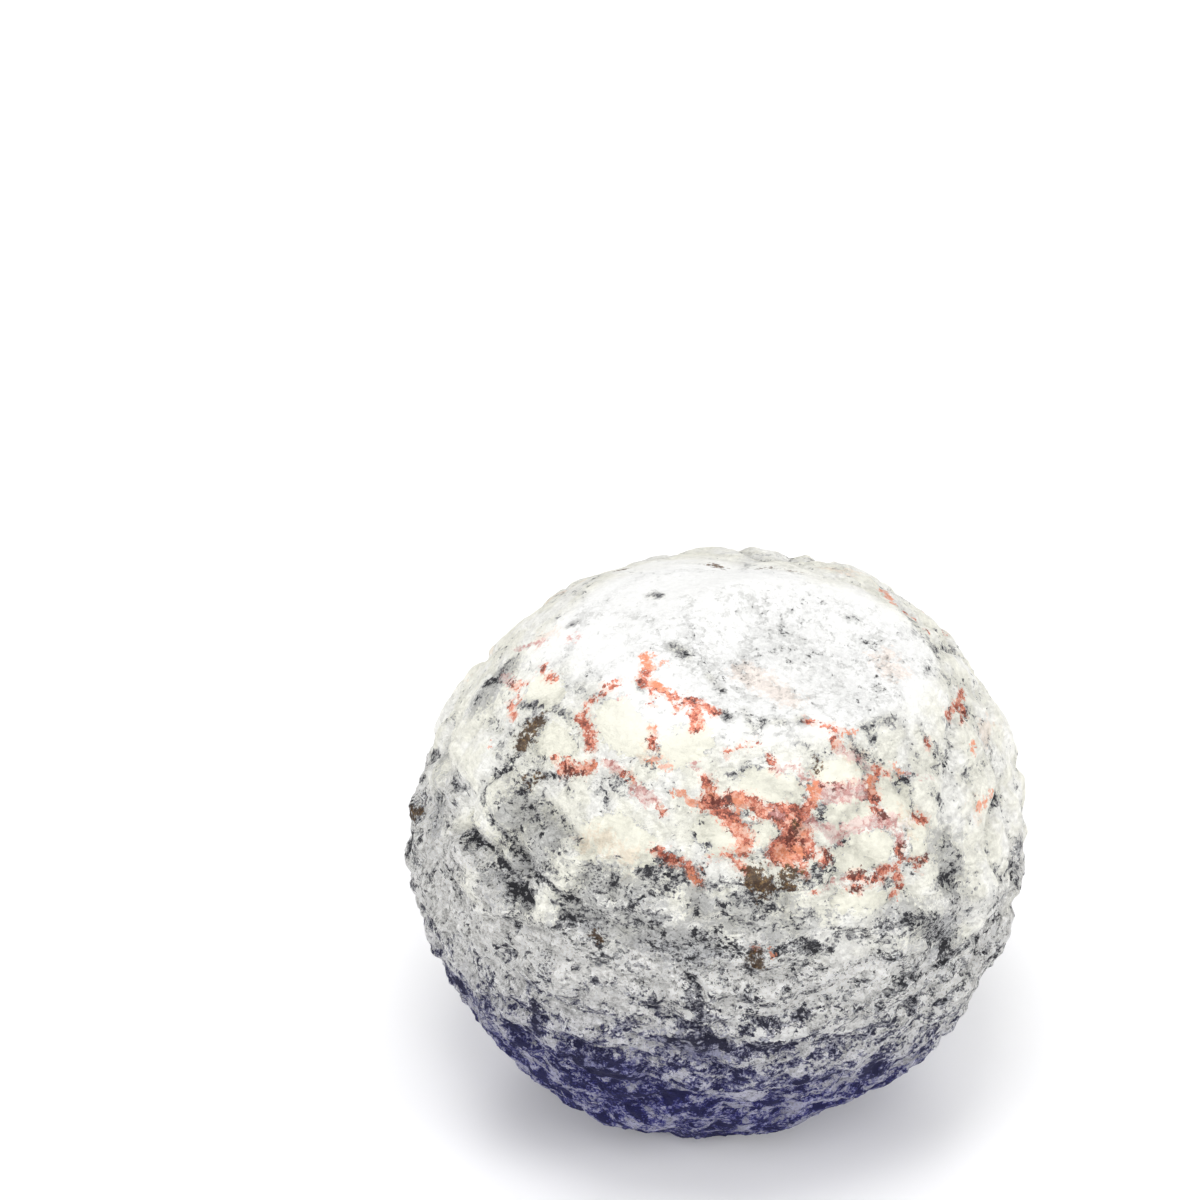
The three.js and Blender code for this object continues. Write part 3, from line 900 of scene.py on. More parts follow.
def ledge_lift(p, middle):
    """Steps up across drawn runs: a lift from minus to plus over a short way, fading over the half width."""
    total = np.zeros(len(p))
    radius = np.linalg.norm(p, axis=-1, keepdims=True)
    outward = p / radius
    for half, lift, pixels in LEDGES.values():
        directions = places_on_stone(pixels, middle)
        nearest = np.full(len(p), np.inf)
        side = np.zeros(len(p))
        for start, end in zip(directions, directions[1:]):
            stretch = (end - start) * radius
            along = ((p - start * radius) * stretch).sum(-1) / (stretch**2).sum(-1)
            aside = p - start * radius - stretch * np.clip(along, 0.0, 1.0)[..., None]
            gap = np.linalg.norm(aside, axis=-1)
            left = np.cross(outward, stretch / np.linalg.norm(stretch, axis=-1, keepdims=True))
            side = np.where(gap < nearest, (aside * left).sum(-1), side)
            nearest = np.minimum(nearest, gap)
        total += lift * (2 * ramp(-LEDGE_EDGE, LEDGE_EDGE, side) - 1) * bell(nearest, half)
    return total


def fold_lift(p, middle):
    """The strongest fold's lift, fading smoothly over its half width, and the crease depth painted as shade.
    """
    total = np.zeros(len(p))
    crease_shade = np.zeros(len(p))
    for half, lift, pixels in FOLDS.values():
        reach = run_reach(p, places_on_stone(pixels, middle))
        near = lift * (1 - ramp(0, half, reach))
        total = np.where(np.abs(near) > np.abs(total), near, total)
        crease_shade = np.maximum(crease_shade, -lift * (1 - ramp(0, CREASE_SHADE_SHARE * half, reach)))
    return total, crease_shade


def broad_lift(p, middle):
    """The sum of the broad places' lifts, each of which falls smoothly from its run to its half width."""
    total = np.zeros(len(p))
    for half, lift, pixels in BROAD_PLACES.values():
        total += lift * (1 - ramp(0, half, run_reach(p, places_on_stone(pixels, middle))))
    return total


def uneven_blocks(p, look):
    """Blocks with sunken joints, each raised or lowered by its own random number."""
    first, second, number = nearest_two(p, look)
    return look["lift"] * (2 * ramp(0, look["joint"], second - first) - 1 + look["uneven"] * (number - 0.5))


def zone_share(look, lower):
    """A relief's strength: its share above the belt, plus what it gains below."""
    return look["above"] + look["below"] * lower


def fine_relief(p, on_crown, upper, plates, strokes):
    """Small relief: plates, pebbles above and flakes below, broken faces, chips, grit, pits and veins."""
    lower = 1 - upper
    loose = upper * uneven_blocks(p, PEBBLE) + lower * uneven_blocks(p, FLAKE)
    plate = PLATE_RISE * (ramp(-PLATE_SLOPE, PLATE_SLOPE, plates) - 0.5)
    faces = BREAK["lift"] * broken_faces(p, BREAK) * zone_share(BREAK, lower)
    chip = CHIP["lift"] * cloud(p, CHIP) * zone_share(CHIP, lower)
    grit = GRIT["lift"] * cloud(p, GRIT) * zone_share(GRIT, lower)
    hole, _, number = nearest_two(p, PIT)
    filled = ramp(PIT["size"] * PIT["floor"], PIT["size"], hole)
    pit = -PIT["depth"] * (1 - filled) * ramp(*PIT["few"], number)
    calm = 1 - PLATE_CALM * ramp(*DRAWN_EDGE["calm"], strokes["pale"])
    wild = calm * (loose + plate + faces + chip + pit)
    raised = PLATE_LIFT * ramp(*DRAWN_EDGE["plate"], strokes["pale"])
    drawn = raised - VEIN_DEPTH * ramp(*DRAWN_EDGE["vein"], strokes["rust"])
    rough = 1 - CROWN_CALM["relief"] * on_crown
    return rough * (wild + drawn) + grit * (1 - CROWN_CALM["grit"] * on_crown)


def six_sided_grid(steps):
    """Unit directions of a cube's grid at even angles, its squares, and each square corner's chart place."""
    count = np.arange(steps + 1)
    row = steps + 1
    i, j = np.meshgrid(count, count, indexing="ij")
    keys, squares, charts = [], [], []
    for axis in range(3):
        for side in (0, steps):
            c = [None, None, None]
            c[axis] = np.full_like(i, side)
            c[(axis + 1) % 3] = i
            c[(axis + 2) % 3] = j
            place = len(keys)
            number = np.arange(row**2).reshape(row, row) + place * row**2
            corners = [number[:-1, :-1], number[1:, :-1], number[1:, 1:], number[:-1, 1:]]
            square = np.stack(corners, -1).reshape(-1, 4)
            squares.append(square if side else square[:, ::-1])
            chart = np.stack([i, j], -1).reshape(-1, 2) / steps
            chart = chart * CHART["share"] + CHART["margin"]
            charts.append((chart + np.array([place % 3, place // 3])) / np.array([3, 2]))
            keys.append(((c[0] * row + c[1]) * row + c[2]).ravel())
    squares = np.concatenate(squares)
    charts = np.concatenate(charts)[squares]
    unique, where = np.unique(np.concatenate(keys), return_inverse=True)
    places = np.stack([unique // row**2, unique // row % row, unique % row], -1)
    direction = np.tan((places * 2.0 / steps - 1) * math.pi / 4)
    direction /= np.linalg.norm(direction, axis=1, keepdims=True)
    return direction, where[squares], charts


def middle_of_solid():
    """The middle of the solid's box before it was centred: half the sum of its outermost corners."""
    direction, _, _ = six_sided_grid(SOLID_STEPS)
    p = ball(direction)
    lift, _, _ = main_relief(p)
    p = p + direction * lift[:, None]
    middle = (p.min(0) + p.max(0)) / 2
    return np.array([middle[0], middle[1], 0.0])


def sights(pixels):
    """Rays through pixels in the camera's own axes: right, up, and one unit ahead."""
    seen = (np.array(pixels, float) - PICTURE / 2) * PIXEL
    return np.stack([seen[..., 0], -seen[..., 1], -np.ones(seen.shape[:-1])], -1)


def camera_frame():
    """The camera's place, and its turn: towards the stone's centre, then turned to put that on its pixel."""
    elevation = math.radians(ELEVATION)
    centre = Vector(STONE_CENTRE)
    place = centre + Vector((0, -math.cos(elevation), math.sin(elevation))) * DISTANCE
    look = (centre - place).to_track_quat("-Z", "Y").to_matrix()
    turn = Vector(sights(CENTRE_PIXEL)).rotation_difference(Vector((0, 0, -1))).to_matrix()
    return place, look @ turn


def places_on_stone(pixels, middle):
    """Unit directions where lines of sight through pixels meet the plain ball, by a quadratic's root."""
    place, turn = camera_frame()
    ray = sights(pixels) @ np.array(turn).T
    start = np.array(place) - np.array([0, 0, HALF_HEIGHT - FOOT_CUT]) + middle
    lean = math.radians(CROWN_LEAN)
    axes = np.array([[math.cos(lean), 0, math.sin(lean)], [0, 1, 0], [-math.sin(lean), 0, math.cos(lean)]])
    size = np.array([HALF_WIDTH, HALF_DEPTH, HALF_HEIGHT])
    s = (axes @ start) / size
    r = (ray @ axes.T) / size
    a, b, c = (r * r).sum(-1), (r @ s), (s * s).sum() - 1
    inside = np.maximum(b * b - a * c, 0.0)
    along = (-b - np.sqrt(inside)) / a
    hit = start + ray * along[:, None]
    return hit / np.linalg.norm(hit, axis=1, keepdims=True)


def stroke_field(p, strokes, middle):
    """Depth inside the nearest stroke: its half width less the distance, and at least minus the limit."""
    field = np.full(len(p), -STROKE_LIMIT)
    for half, pixels in strokes.values():
        field = np.maximum(field, half - run_reach(p, places_on_stone(pixels, middle)))
    return field


def stroke_fields(p, middle):
    """The depth fields of all the drawn strokes, by name."""
    drawn = {
        "rust": RUST_VEINS,
        "heart": RUST_HEARTS,
        "orange": ORANGE_BITS,
        "mauve": MAUVE_PATCHES,
        "blush": BLUSHES,
        "stain_and_shade": DARK_STAINS_AND_SHADE,
        "pale": PALE_PLATES,
        "haze": GREY_HAZES,
        "ochre": OCHRE_SPOTS,
    }
    return {name: stroke_field(p, strokes, middle) for name, strokes in drawn.items()}


def plate_field(p, upper):
    """Above 0 on a pale plate and below 0 between plates: fractal clouds plus the share that they cover."""
    high = fractal(p, HIGH_PLATES) + HIGH_PLATES["cover"]
    low = fractal(p, LOW_PLATES) + LOW_PLATES["cover"]
    return upper * high + (1 - upper) * low


def hidden_side(direction):
    """0 where the photograph shows the stone and 1 where it doesn't, by the angle to the eye."""
    eye = np.array(camera_frame()[0]) - np.array(STONE_CENTRE)
    return 1 - ramp(*HIDDEN_EDGE, direction @ (eye / np.linalg.norm(eye)))


def cobble_joint(p):
    """Distance in millimetres to the joint between cobbles, from the gap between the nearest two reaches."""
    first, second, _ = nearest_two(p, COBBLE)
    return (second - first) * COBBLE["across"] * JOINT_SHARE


def hidden_rust(joint, broad, lower, on_crown, hidden):
    """Depth in the veins that the photograph doesn't show: in cobble joints, where a broad cloud is high."""
    look = HIDDEN_RUST
    depth = look["cloud"] * broad - look["lower"] * lower - look["crown"] * on_crown - look["thin"] - joint
    return np.maximum(depth - look["seen"] * (1 - hidden), -STROKE_LIMIT)


def paleness(p, on_crown, lower, foot, sole_shade, plates, joint, broad, strokes, crease_shade):
    """The rock's paleness before its noise, the strength of that noise, and the stains with painted shade.

    The paleness is a level for each zone, darker at the foot and sole as painted shade, plus plates and a
    broad cloud, less joints, stains and painted shade, the painted shade of crease cores, and haze. The
    noise is weaker above the belt and on the crown, and stronger in joints, stains and painted shade.
    """
    plates = np.clip(plates, -1, 1)
    below = LOWER_LEVEL + (FOOT_PAINTED_SHADE_LEVEL - LOWER_LEVEL) * foot - SOLE_PAINTED_SHADE_DROP * sole_shade + PLATE_TONE["below"] * plates
    below += (BROAD_TONE["lift"] + BROAD_TONE["foot"] * foot) * cloud(p, BROAD_TONE)
    seam = (1 - ramp(0.0, SEAM["width"], joint)) * ramp(*SEAM["cloud"], broad)
    above = UPPER_LEVEL - SEAM["drop"] * seam + PLATE_TONE["above"] * plates
    level = above + (below - above) * lower
    floor = 1 - ramp(*DISH_FLOOR, oval_reach(p, DISH))
    crown = CROWN_LEVEL + (DISH_LEVEL - CROWN_LEVEL) * floor
    level += (crown - level) * on_crown
    stain_and_shade = ramp(*STAIN_AND_SHADE["edge"], strokes["stain_and_shade"])
    pale = ramp(*PALE["edge"], strokes["pale"])
    hazy = ramp(*HAZE["edge"], strokes["haze"]) * (1 - HAZE["crown"] * on_crown)
    # Painted shade in crease cores darkens the level, with stains, some of them painted shade, and haze
    level -= STAIN_AND_SHADE["drop"] * stain_and_shade + CREASE_PAINTED_SHADE_DROP * crease_shade + HAZE["drop"] * hazy
    rough = 1 - NOISE_CALM["above"] * (1 - lower) - NOISE_CALM["crown"] * on_crown * (1 - floor)
    more = SEAM["rough"] * seam * (1 - lower) + STAIN_AND_SHADE["rough"] * stain_and_shade - PALE["rough"] * pale
    rough += more + HAZE["rough"] * hazy * (1 - lower)
    return level, rough, stain_and_shade


def stone_fields(p, direction, on_crown, plates, strokes, crease_shade, broad_lifts):
    """Smooth fields for the rind: paleness, its noise, stroke depths, zones, and the foot's painted shade.
    """
    hidden = hidden_side(direction)
    chalk = 1 - ramp(*CHALK_EDGE, oval_reach(p, CROWN) + CHALK_WAVER * cloud(p, KNOB))
    chalk = np.maximum(chalk, 1 - ramp(*DISH_CHALK, oval_reach(p, DISH)))
    height = above_belt(p) + ZONE_WAVER["lift"] * cloud(p, ZONE_WAVER)
    lower = ramp(ZONE_WAVER["blend"], -ZONE_WAVER["blend"], height)
    # The foot's painted shade and painted blue reflected light: lower on the right, and on the sides and
    # back
    altitude = np.degrees(np.arcsin(direction[..., 2])) + FOOT_SHADE_LEAN * direction[..., 0]
    altitude += FOOT_SHADE_TURN["lift"] * np.minimum(1 + direction[..., 1], FOOT_SHADE_TURN["most"])
    foot = 1 - ramp(FOOT_PAINTED_SHADE_ALTITUDES[1], FOOT_PAINTED_SHADE_ALTITUDES[0], altitude)
    sole_shade = 1 - ramp(SOLE_PAINTED_SHADE_ALTITUDES[1], SOLE_PAINTED_SHADE_ALTITUDES[0], altitude)
    joint = cobble_joint(p)
    broad = cloud(p, JOINT_TONE)
    level, rough, stain_and_shade = paleness(p, chalk, lower, foot, sole_shade, plates, joint, broad, strokes, crease_shade)
    level += broad_lifts
    veins = np.maximum(strokes["rust"], hidden_rust(joint, broad, lower, on_crown, hidden))
    fields = {name: strokes[name] for name in ("heart", "orange", "mauve", "blush", "ochre", "haze", "pale")}
    fields.update(rust=veins, plates=plates, level=level, rough=rough, foot=foot, lower=lower)
    fields["crown"] = chalk * (1 - stain_and_shade)
    return fields


def stone_shape():
    """The fine stone: the ball plus its relief along each direction, pressed flat at the foot, in metres."""
    direction, squares, charts = six_sided_grid(FINE_STEPS)
    middle = middle_of_solid()
    p = ball(direction)
    main, on_crown, upper = main_relief(p)
    plates = plate_field(p, upper)
    strokes = stroke_fields(p, middle)
    folds, crease_shade = fold_lift(p, middle)
    fine = fine_relief(p, on_crown, upper, plates, strokes) + folds + ledge_lift(p, middle)
    surface = p + direction * (main + fine)[:, None]
    surface[:, 2] = np.maximum(0.0, surface[:, 2] + HALF_HEIGHT - FOOT_CUT)
    fields = stone_fields(p, direction, on_crown, plates, strokes, crease_shade, broad_lift(p, middle))
    return (surface - middle) / PER_METRE, squares, charts, fields


def make_stone():
    """The stone's mesh: its squares as faces, its fields as point attributes and its charts as a UV map."""
    points, squares, charts, fields = stone_shape()
    mesh = bpy.data.meshes.new("stone")
    mesh.vertices.add(len(points))
    mesh.vertices.foreach_set("co", points.astype(np.float32).ravel())
    mesh.loops.add(squares.size)
    mesh.loops.foreach_set("vertex_index", squares.astype(np.int32).ravel())
    mesh.polygons.add(len(squares))
    mesh.polygons.foreach_set("loop_start", np.arange(0, squares.size, 4, dtype=np.int32))
    mesh.polygons.foreach_set("loop_total", np.full(len(squares), 4, dtype=np.int32))
    mesh.update(calc_edges=True)
    chart = mesh.uv_layers.new(name="OFBake")
    chart.data.foreach_set("uv", charts.astype(np.float32).ravel())
    for name, values in fields.items():
        mesh.attributes.new(name, "FLOAT", "POINT").data.foreach_set("value", values.astype(np.float32))
    mesh.validate()
    mesh.shade_smooth()
    stone = bpy.data.objects.new("stone", mesh)
    bpy.context.scene.collection.objects.link(stone)
    return stone


class Sheet:
    """A node tree with short calls for adding and joining its nodes."""

    def __init__(self, tree):
        self.tree = tree

    def node(self, kind, values=None, **settings):
        """A new node with its settings, and a value or a link for each named socket."""
        made = self.tree.nodes.new(kind)
        for key, value in settings.items():
            setattr(made, key, value)
        for key, value in (values or {}).items():
            self.put(made.inputs[key], value)
        return made

    def put(self, socket, value):
        """Links a socket to another one, or sets its own value."""
        if isinstance(value, bpy.types.NodeSocket):
            self.tree.links.new(value, socket)
        else:
            socket.default_value = value

    def math(self, operation, a, b=0.0, c=0.0):
        """One operation on up to three values."""
        return self.node("ShaderNodeMath", {0: a, 1: b, 2: c}, operation=operation).outputs[0]

    def times(self, a, b):
        """a times b."""
        return self.math("MULTIPLY", a, b)

    def less(self, a, b):
        """a less b."""
        return self.math("SUBTRACT", a, b)

    def plus(self, value, weight, base):
        """The base plus a value times its weight."""
        return self.math("MULTIPLY_ADD", value, weight, base)

    def rise(self, value, low, high):
        """Rises from 0 at low to 1 at high as 3 t squared less 2 t cubed."""
        values = {0: value, 1: low, 2: high}
        return self.node("ShaderNodeMapRange", values, interpolation_type="SMOOTHSTEP").outputs[0]

    def fall(self, value, limit, soft):
        """1 below a limit and 0 above it, over a soft edge."""
        return self.less(1.0, self.rise(value, limit - soft, limit + soft))

    def mix(self, kind, share, below, above):
        """A colour laid over another one by a kind of mixing and a share."""
        values = {0: share, 6: below, 7: above}
        return self.node("ShaderNodeMix", values, data_type="RGBA", blend_type=kind).outputs[2]

    def blend(self, share, low, high):
        """From one colour to another one by a share."""
        return self.mix("MIX", share, low, high)

    def tones(self, value, stops):
        """A colour for each value, in straight steps between stops of a value and its colour."""
        low, high = stops[0][0], stops[-1][0]
        share = self.node("ShaderNodeMapRange", {0: value, 1: low, 2: high}).outputs[0]
        made = self.node("ShaderNodeValToRGB", {0: share})
        scale = made.color_ramp.elements
        for place, colour in stops[1:-1]:
            scale.new((place - low) / (high - low)).color = (*colour, 1)
        scale[0].color = (*stops[0][1], 1)
        scale[-1].color = (*stops[-1][1], 1)
        return made.outputs[0]

    def noise(self, place, per_mm, detail=3.0, rough=0.55, warp=0.0):
        """Fractal noise from 0 to 1."""
        values = {"Vector": place, "Scale": per_mm, "Detail": detail, "Roughness": rough, "Distortion": warp}
        return self.node("ShaderNodeTexNoise", values).outputs[0]

    def sway(self, place, *look):
        """Fractal noise around 0."""
        return self.less(self.noise(place, *look), 0.5)

    def cells(self, place, per_mm):
        """A random number for each cell around the points of a scattered lattice."""
        made = self.node("ShaderNodeTexVoronoi", {"Vector": place, "Scale": per_mm})
        return self.node("ShaderNodeSeparateColor", {0: made.outputs["Color"]}).outputs[0]

    def field(self, name):
        """One of the stone's own fields."""
        return self.node("ShaderNodeAttribute", attribute_name=name).outputs["Fac"]


def ragged_group():
    """A group that makes a depth a ragged mask: depth plus noise at two sizes, cut over a soft edge."""
    tree = bpy.data.node_groups.new("ragged edge", "ShaderNodeTree")
    tree.interface.new_socket(name="Place", in_out="INPUT", socket_type="NodeSocketVector")
    for name, start in {"Depth": 0.0, "Coarse": 1.0, "Fine": 1.0, "Soft": 0.3, "Grain": 0.9}.items():
        socket = tree.interface.new_socket(name=name, in_out="INPUT", socket_type="NodeSocketFloat")
        socket.default_value = start
    tree.interface.new_socket(name="Mask", in_out="OUTPUT", socket_type="NodeSocketFloat")
    s = Sheet(tree)
    given = s.node("NodeGroupInput").outputs
    coarse = s.sway(given["Place"], *RAGGED_NOISE)
    fine = s.sway(given["Place"], given["Grain"], *RAGGED_DETAIL)
    depth = s.plus(coarse, given["Coarse"], given["Depth"])
    depth = s.plus(fine, given["Fine"], depth)
    mask = s.rise(depth, s.times(given["Soft"], -1.0), given["Soft"])
    s.node("NodeGroupOutput", {"Mask": mask})
    return tree


def marking(s, group, place, name, depth):
    """How much a marking covers: the ragged edge group with the marking's own values, times its cover."""
    made = s.node("ShaderNodeGroup", {"Place": place, "Depth": depth}, node_tree=group)
    for key, value in zip(("Coarse", "Fine", "Soft", "Grain"), MARKINGS[name]):
        s.put(made.inputs[key], value)
    return s.times(made.outputs["Mask"], COVER[name])


def grain_tone(s, place):
    """Angular grains of two sizes with random tones, -0.5 to 0.5: cells at places that fine noise shifts."""
    shift = s.node("ShaderNodeTexNoise", {"Vector": place, **GRAINS["noise"]}).outputs["Color"]
    values = {0: shift, 1: GRAINS["shift"], 2: place}
    torn = s.node("ShaderNodeVectorMath", values, operation="MULTIPLY_ADD").outputs[0]
    large, small = s.cells(torn, GRAINS["large"]), s.cells(torn, GRAINS["small"])
    return s.less(s.times(s.math("ADD", large, small), 0.5), 0.5)


def torn_plate(s, look, depth, specks, broad):
    """Masks of a plate and of the painted shadow line under it: depth plus specks, past its edge or just
    short.
    """
    torn = s.plus(specks, look["tear"], depth)
    plate = s.rise(torn, *look["edge"])
    under = s.less(s.rise(torn, *look["under"]), plate)
    return plate, s.times(under, s.rise(broad, *look["cloud"]))


def rock_masks(s, place, grains):
    """Masks of plates, their painted shadow lines, grey areas, haze, specks, dust and crystals: level plus
    noise past limits.
    """
    level, rough, foot = s.field("level"), s.field("rough"), s.field("foot")
    broad = s.sway(place, *BROAD_NOISE)
    specks = s.plus(grains, WEIGHT["grains in specks"], s.sway(place, *SPECK_NOISE))
    # The lines under plates and under clean plates are painted shadow, taken off the level
    plate, under = torn_plate(s, RIND_PLATE, s.field("plates"), specks, broad)
    level = s.plus(under, -RIND_PLATE["drop"], level)
    # line is the painted shadow line under a clean plate
    clean, line = torn_plate(s, CLEAN_PLATE, s.field("pale"), specks, broad)
    # Clean plates are lifted less towards the foot, as painted shade
    lack = s.less(s.plus(foot, *CLEAN_PLATE["level"]), level)
    level = s.plus(s.math("MAXIMUM", lack, 0.0), s.times(clean, CLEAN_PLATE["share"]), level)
    level = s.plus(line, -CLEAN_PLATE["drop"], level)
    specks = s.times(specks, rough)
    fine = s.times(s.sway(place, *FINE_NOISE), rough)
    sway = s.times(s.times(broad, rough), s.plus(s.field("lower"), WEIGHT["lower in sway"], 1.0))
    area = s.plus(specks, WEIGHT["specks in area"], s.plus(sway, WEIGHT["sway in area"], level))
    cluster = s.plus(sway, s.plus(foot, *WEIGHT["sway in cluster"]), level)
    dark = s.plus(specks, s.plus(foot, *WEIGHT["specks in dark"]), cluster)
    dark = s.plus(fine, WEIGHT["fine in dark"], dark)
    dust = s.plus(fine, WEIGHT["fine in dust"], cluster)
    crystal = s.plus(fine, WEIGHT["fine in crystal"], s.times(specks, WEIGHT["specks in crystal"]))
    haze = s.plus(broad, WEIGHT["broad in haze"], s.plus(s.field("haze"), WEIGHT["field in haze"], grains))
    return {
        "plate": s.math("MAXIMUM", plate, clean),
        "under": s.math("MAXIMUM", under, line),
        "clean": clean,
        "grey": s.fall(area, *LIMIT["grey"]),
        "haze": s.rise(haze, *LIMIT["haze"]),
        "dark": s.fall(dark, *LIMIT["dark"]),
        "black": s.fall(dark, *LIMIT["black"]),
        "dust": s.fall(dust, *LIMIT["dust"]),
        "crystal": s.rise(crystal, *LIMIT["crystal"]),
    }


def base_colour(s, place, masks, speck, grains):
    """Chalk, cream or pale grey by zone, varied by fine noise, under flecks; at the foot, painted blue
    shade.
    """
    lower, crown, foot = s.field("lower"), s.field("crown"), s.field("foot")
    above = s.blend(s.rise(s.noise(place, *CREAM_NOISE), *EDGE["cream"]), CREAM, IVORY)
    above = s.blend(masks["clean"], above, PLATE)
    chalky = s.times(crown, s.plus(masks["clean"], -COVER["plate on chalk"], 1.0))
    pale = s.blend(chalky, s.blend(lower, above, LOW_PALE), CHALK)
    shade = s.times(s.less(speck, 0.5), s.plus(lower, *WEIGHT["speck in shade"]))
    shade = s.plus(grains, s.plus(lower, *WEIGHT["grains in shade"]), shade)
    shade = s.plus(shade, s.field("rough"), 1.0)
    pale = s.mix("MULTIPLY", 1.0, pale, shade)
    pale = s.blend(s.times(masks["crystal"], s.times(lower, COVER["crystal"])), pale, CRYSTAL)
    # At the foot the grey and the flecks are painted shade with painted blue reflected light
    grey = s.blend(foot, s.blend(crown, s.blend(lower, UPPER_GREY, LOWER_GREY), CROWN_GREY), PAINTED_BLUE_SHADE_GREY)
    grey = s.mix("MULTIPLY", 1.0, grey, shade)
    dark = s.blend(foot, s.blend(crown, SLATE, CROWN_FLECK), PAINTED_BLUE_SHADE)
    rock = s.blend(s.times(masks["grey"], COVER["grey"]), pale, grey)
    hazy = s.times(masks["haze"], s.plus(crown, *COVER["haze"]))
    # Towards the foot the rock turns to the grey of the painted blue shade
    rock = s.blend(s.plus(foot, COVER["foot"], hazy), rock, grey)
    for name, tone in {"dust": dark, "dark": dark, "black": s.blend(foot, SOOT, PAINTED_DEEP_BLUE_SHADE)}.items():
        rock = s.blend(s.times(masks[name], COVER[name]), rock, tone)
    return rock


def add_rust(s, base, group, place, grains):
    """Rust in tones by fine noise with a pale fringe, then mauve and orange places, and the dark hearts."""
    grain = s.plus(grains, WEIGHT["grains in rust"], s.noise(place, *RUST_NOISE))
    rust = s.field("rust")
    layers = {
        "fringe": (s.math("ADD", rust, FRINGE), SALMON),
        "vein": (rust, s.tones(grain, RUST_TONES)),
        "mauve": (s.field("mauve"), s.blend(s.rise(grain, *EDGE["mauve"]), MAUVE, PALE_MAUVE)),
        "orange": (s.field("orange"), s.blend(s.rise(grain, *EDGE["orange"]), ORANGE, SALMON)),
        "heart": (s.field("heart"), DARK_RUST),
    }
    for name, (depth, colour) in layers.items():
        base = s.blend(marking(s, group, place, name, depth), base, colour)
    return base


def stone_colour(s, place, group, masks, speck, grains):
    """The base, then blushes, rust and ochre spots laid over it in turn."""
    base = base_colour(s, place, masks, speck, grains)
    base = s.mix("MULTIPLY", marking(s, group, place, "blush", s.field("blush")), base, PEACH)
    base = add_rust(s, base, group, place, grains)
    earth = s.blend(s.rise(speck, *EDGE["earth"]), BROWN, YELLOW_BROWN)
    return s.blend(marking(s, group, place, "ochre", s.field("ochre")), base, earth)


def rind_height(s, bedded, masks, grain, grains):
    """The rind's height: crust and grain, less ridges and sunken masks, calmer on the crown."""
    crust = s.noise(bedded, *CRUST_NOISE)
    ridge = s.math("ABSOLUTE", s.less(crust, 0.5))
    height = s.plus(crust, RELIEF["crust"], s.times(grain, RELIEF["grain"]))
    height = s.plus(ridge, RELIEF["ridge"], height)
    height = s.plus(grains, RELIEF["grains"], height)
    for name, lift in MASK_LIFTS.items():
        height = s.plus(masks[name], lift, height)
    calm = s.plus(s.field("crown"), RELIEF["crown"], s.plus(s.field("lower"), *RELIEF["lower"]))
    return s.times(height, s.times(s.field("rough"), calm))


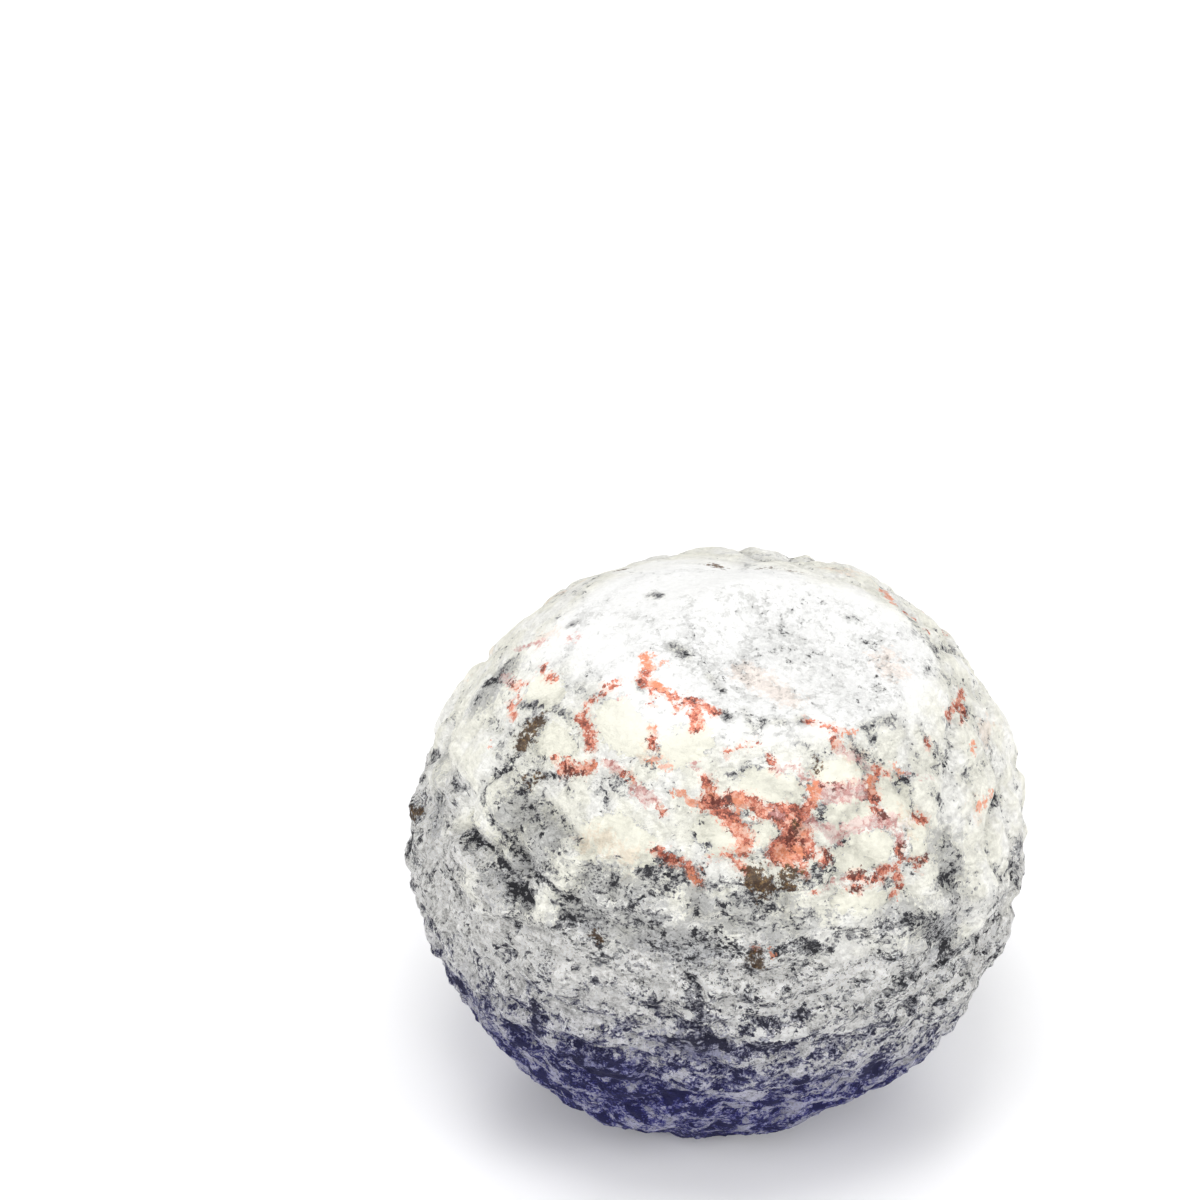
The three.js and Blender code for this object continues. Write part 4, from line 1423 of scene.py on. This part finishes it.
def stone_material():
    """The rind: a rough dielectric, coloured and bumped by the stone's fields and noise in millimetres."""
    made = bpy.data.materials.new("rind")
    made.use_nodes = True
    made.node_tree.nodes.clear()
    s = Sheet(made.node_tree)
    spot = s.node("ShaderNodeTexCoord").outputs["Object"]
    place = s.node("ShaderNodeVectorMath", {0: spot, "Scale": PER_METRE}, operation="SCALE").outputs[0]
    bedded = s.node("ShaderNodeVectorMath", {0: place, 1: BEDDING}, operation="MULTIPLY").outputs[0]
    grains = grain_tone(s, place)
    masks = rock_masks(s, bedded, grains)
    speck = s.noise(bedded, *SHADE_NOISE)
    colour = stone_colour(s, place, ragged_group(), masks, speck, grains)
    grain = s.noise(place, *GRAIN_NOISE)
    height = rind_height(s, bedded, masks, grain, grains)
    bump = s.node("ShaderNodeBump", {"Strength": 1.0, "Distance": BUMP_METRES, "Height": height})
    values = {
        "Base Color": colour,
        "Roughness": s.plus(grain, *ROUGHNESS),
        "Normal": bump.outputs[0],
        "Specular IOR Level": SPECULAR,
    }
    shader = s.node("ShaderNodeBsdfPrincipled", values)
    s.node("ShaderNodeOutputMaterial", {"Surface": shader.outputs[0]})
    return made


def make_floor():
    """A plain pale floor: one large matte square with an even tone."""
    half = FLOOR["half"]
    corners = [(-half, -half, 0), (half, -half, 0), (half, half, 0), (-half, half, 0)]
    mesh = bpy.data.meshes.new("floor")
    mesh.from_pydata(corners, [], [(0, 1, 2, 3)])
    floor = bpy.data.objects.new("floor", mesh)
    bpy.context.scene.collection.objects.link(floor)
    made = bpy.data.materials.new("pale floor")
    made.use_nodes = True
    shader = made.node_tree.nodes["Principled BSDF"]
    shader.inputs["Base Color"].default_value = FLOOR["colour"]
    shader.inputs["Roughness"].default_value = FLOOR["roughness"]
    mesh.materials.append(made)


def make_light(name, place, size, watts):
    """A square area lamp at a place, facing the middle of the stone."""
    lamp = bpy.data.lights.new(name, "AREA")
    lamp.shape = "SQUARE"
    lamp.size = size
    lamp.energy = watts
    made = bpy.data.objects.new(name, lamp)
    made.location = place
    made.rotation_euler = (Vector(LAMP_TARGET) - Vector(place)).to_track_quat("-Z", "Y").to_euler()
    bpy.context.scene.collection.objects.link(made)


def make_studio():
    """Soft light from above, from each side and from behind, and an even pale surround."""
    for name, (place, size, watts) in LAMPS.items():
        make_light(name, place, size, watts)
    world = bpy.data.worlds.new("pale surround")
    bpy.context.scene.world = world
    world.use_nodes = True
    sky = world.node_tree.nodes["Background"]
    sky.inputs["Color"].default_value = (1, 1, 1, 1)
    sky.inputs["Strength"].default_value = SURROUND
    bpy.context.scene.view_settings.view_transform = "Standard"


def make_camera():
    """The camera, from its frame in millimetres."""
    place, turn = camera_frame()
    lens = bpy.data.cameras.new("camera")
    lens.lens = LENS
    lens.sensor_width = SENSOR
    lens.clip_start = NEAREST
    camera = bpy.data.objects.new("camera", lens)
    camera.matrix_world = Matrix.Translation(place / PER_METRE) @ turn.to_4x4()
    bpy.context.scene.collection.objects.link(camera)
    bpy.context.scene.camera = camera


make_camera()
make_floor()
make_studio()
stone = make_stone()
stone.data.materials.append(stone_material())
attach(stone, "root")
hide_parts("geode")
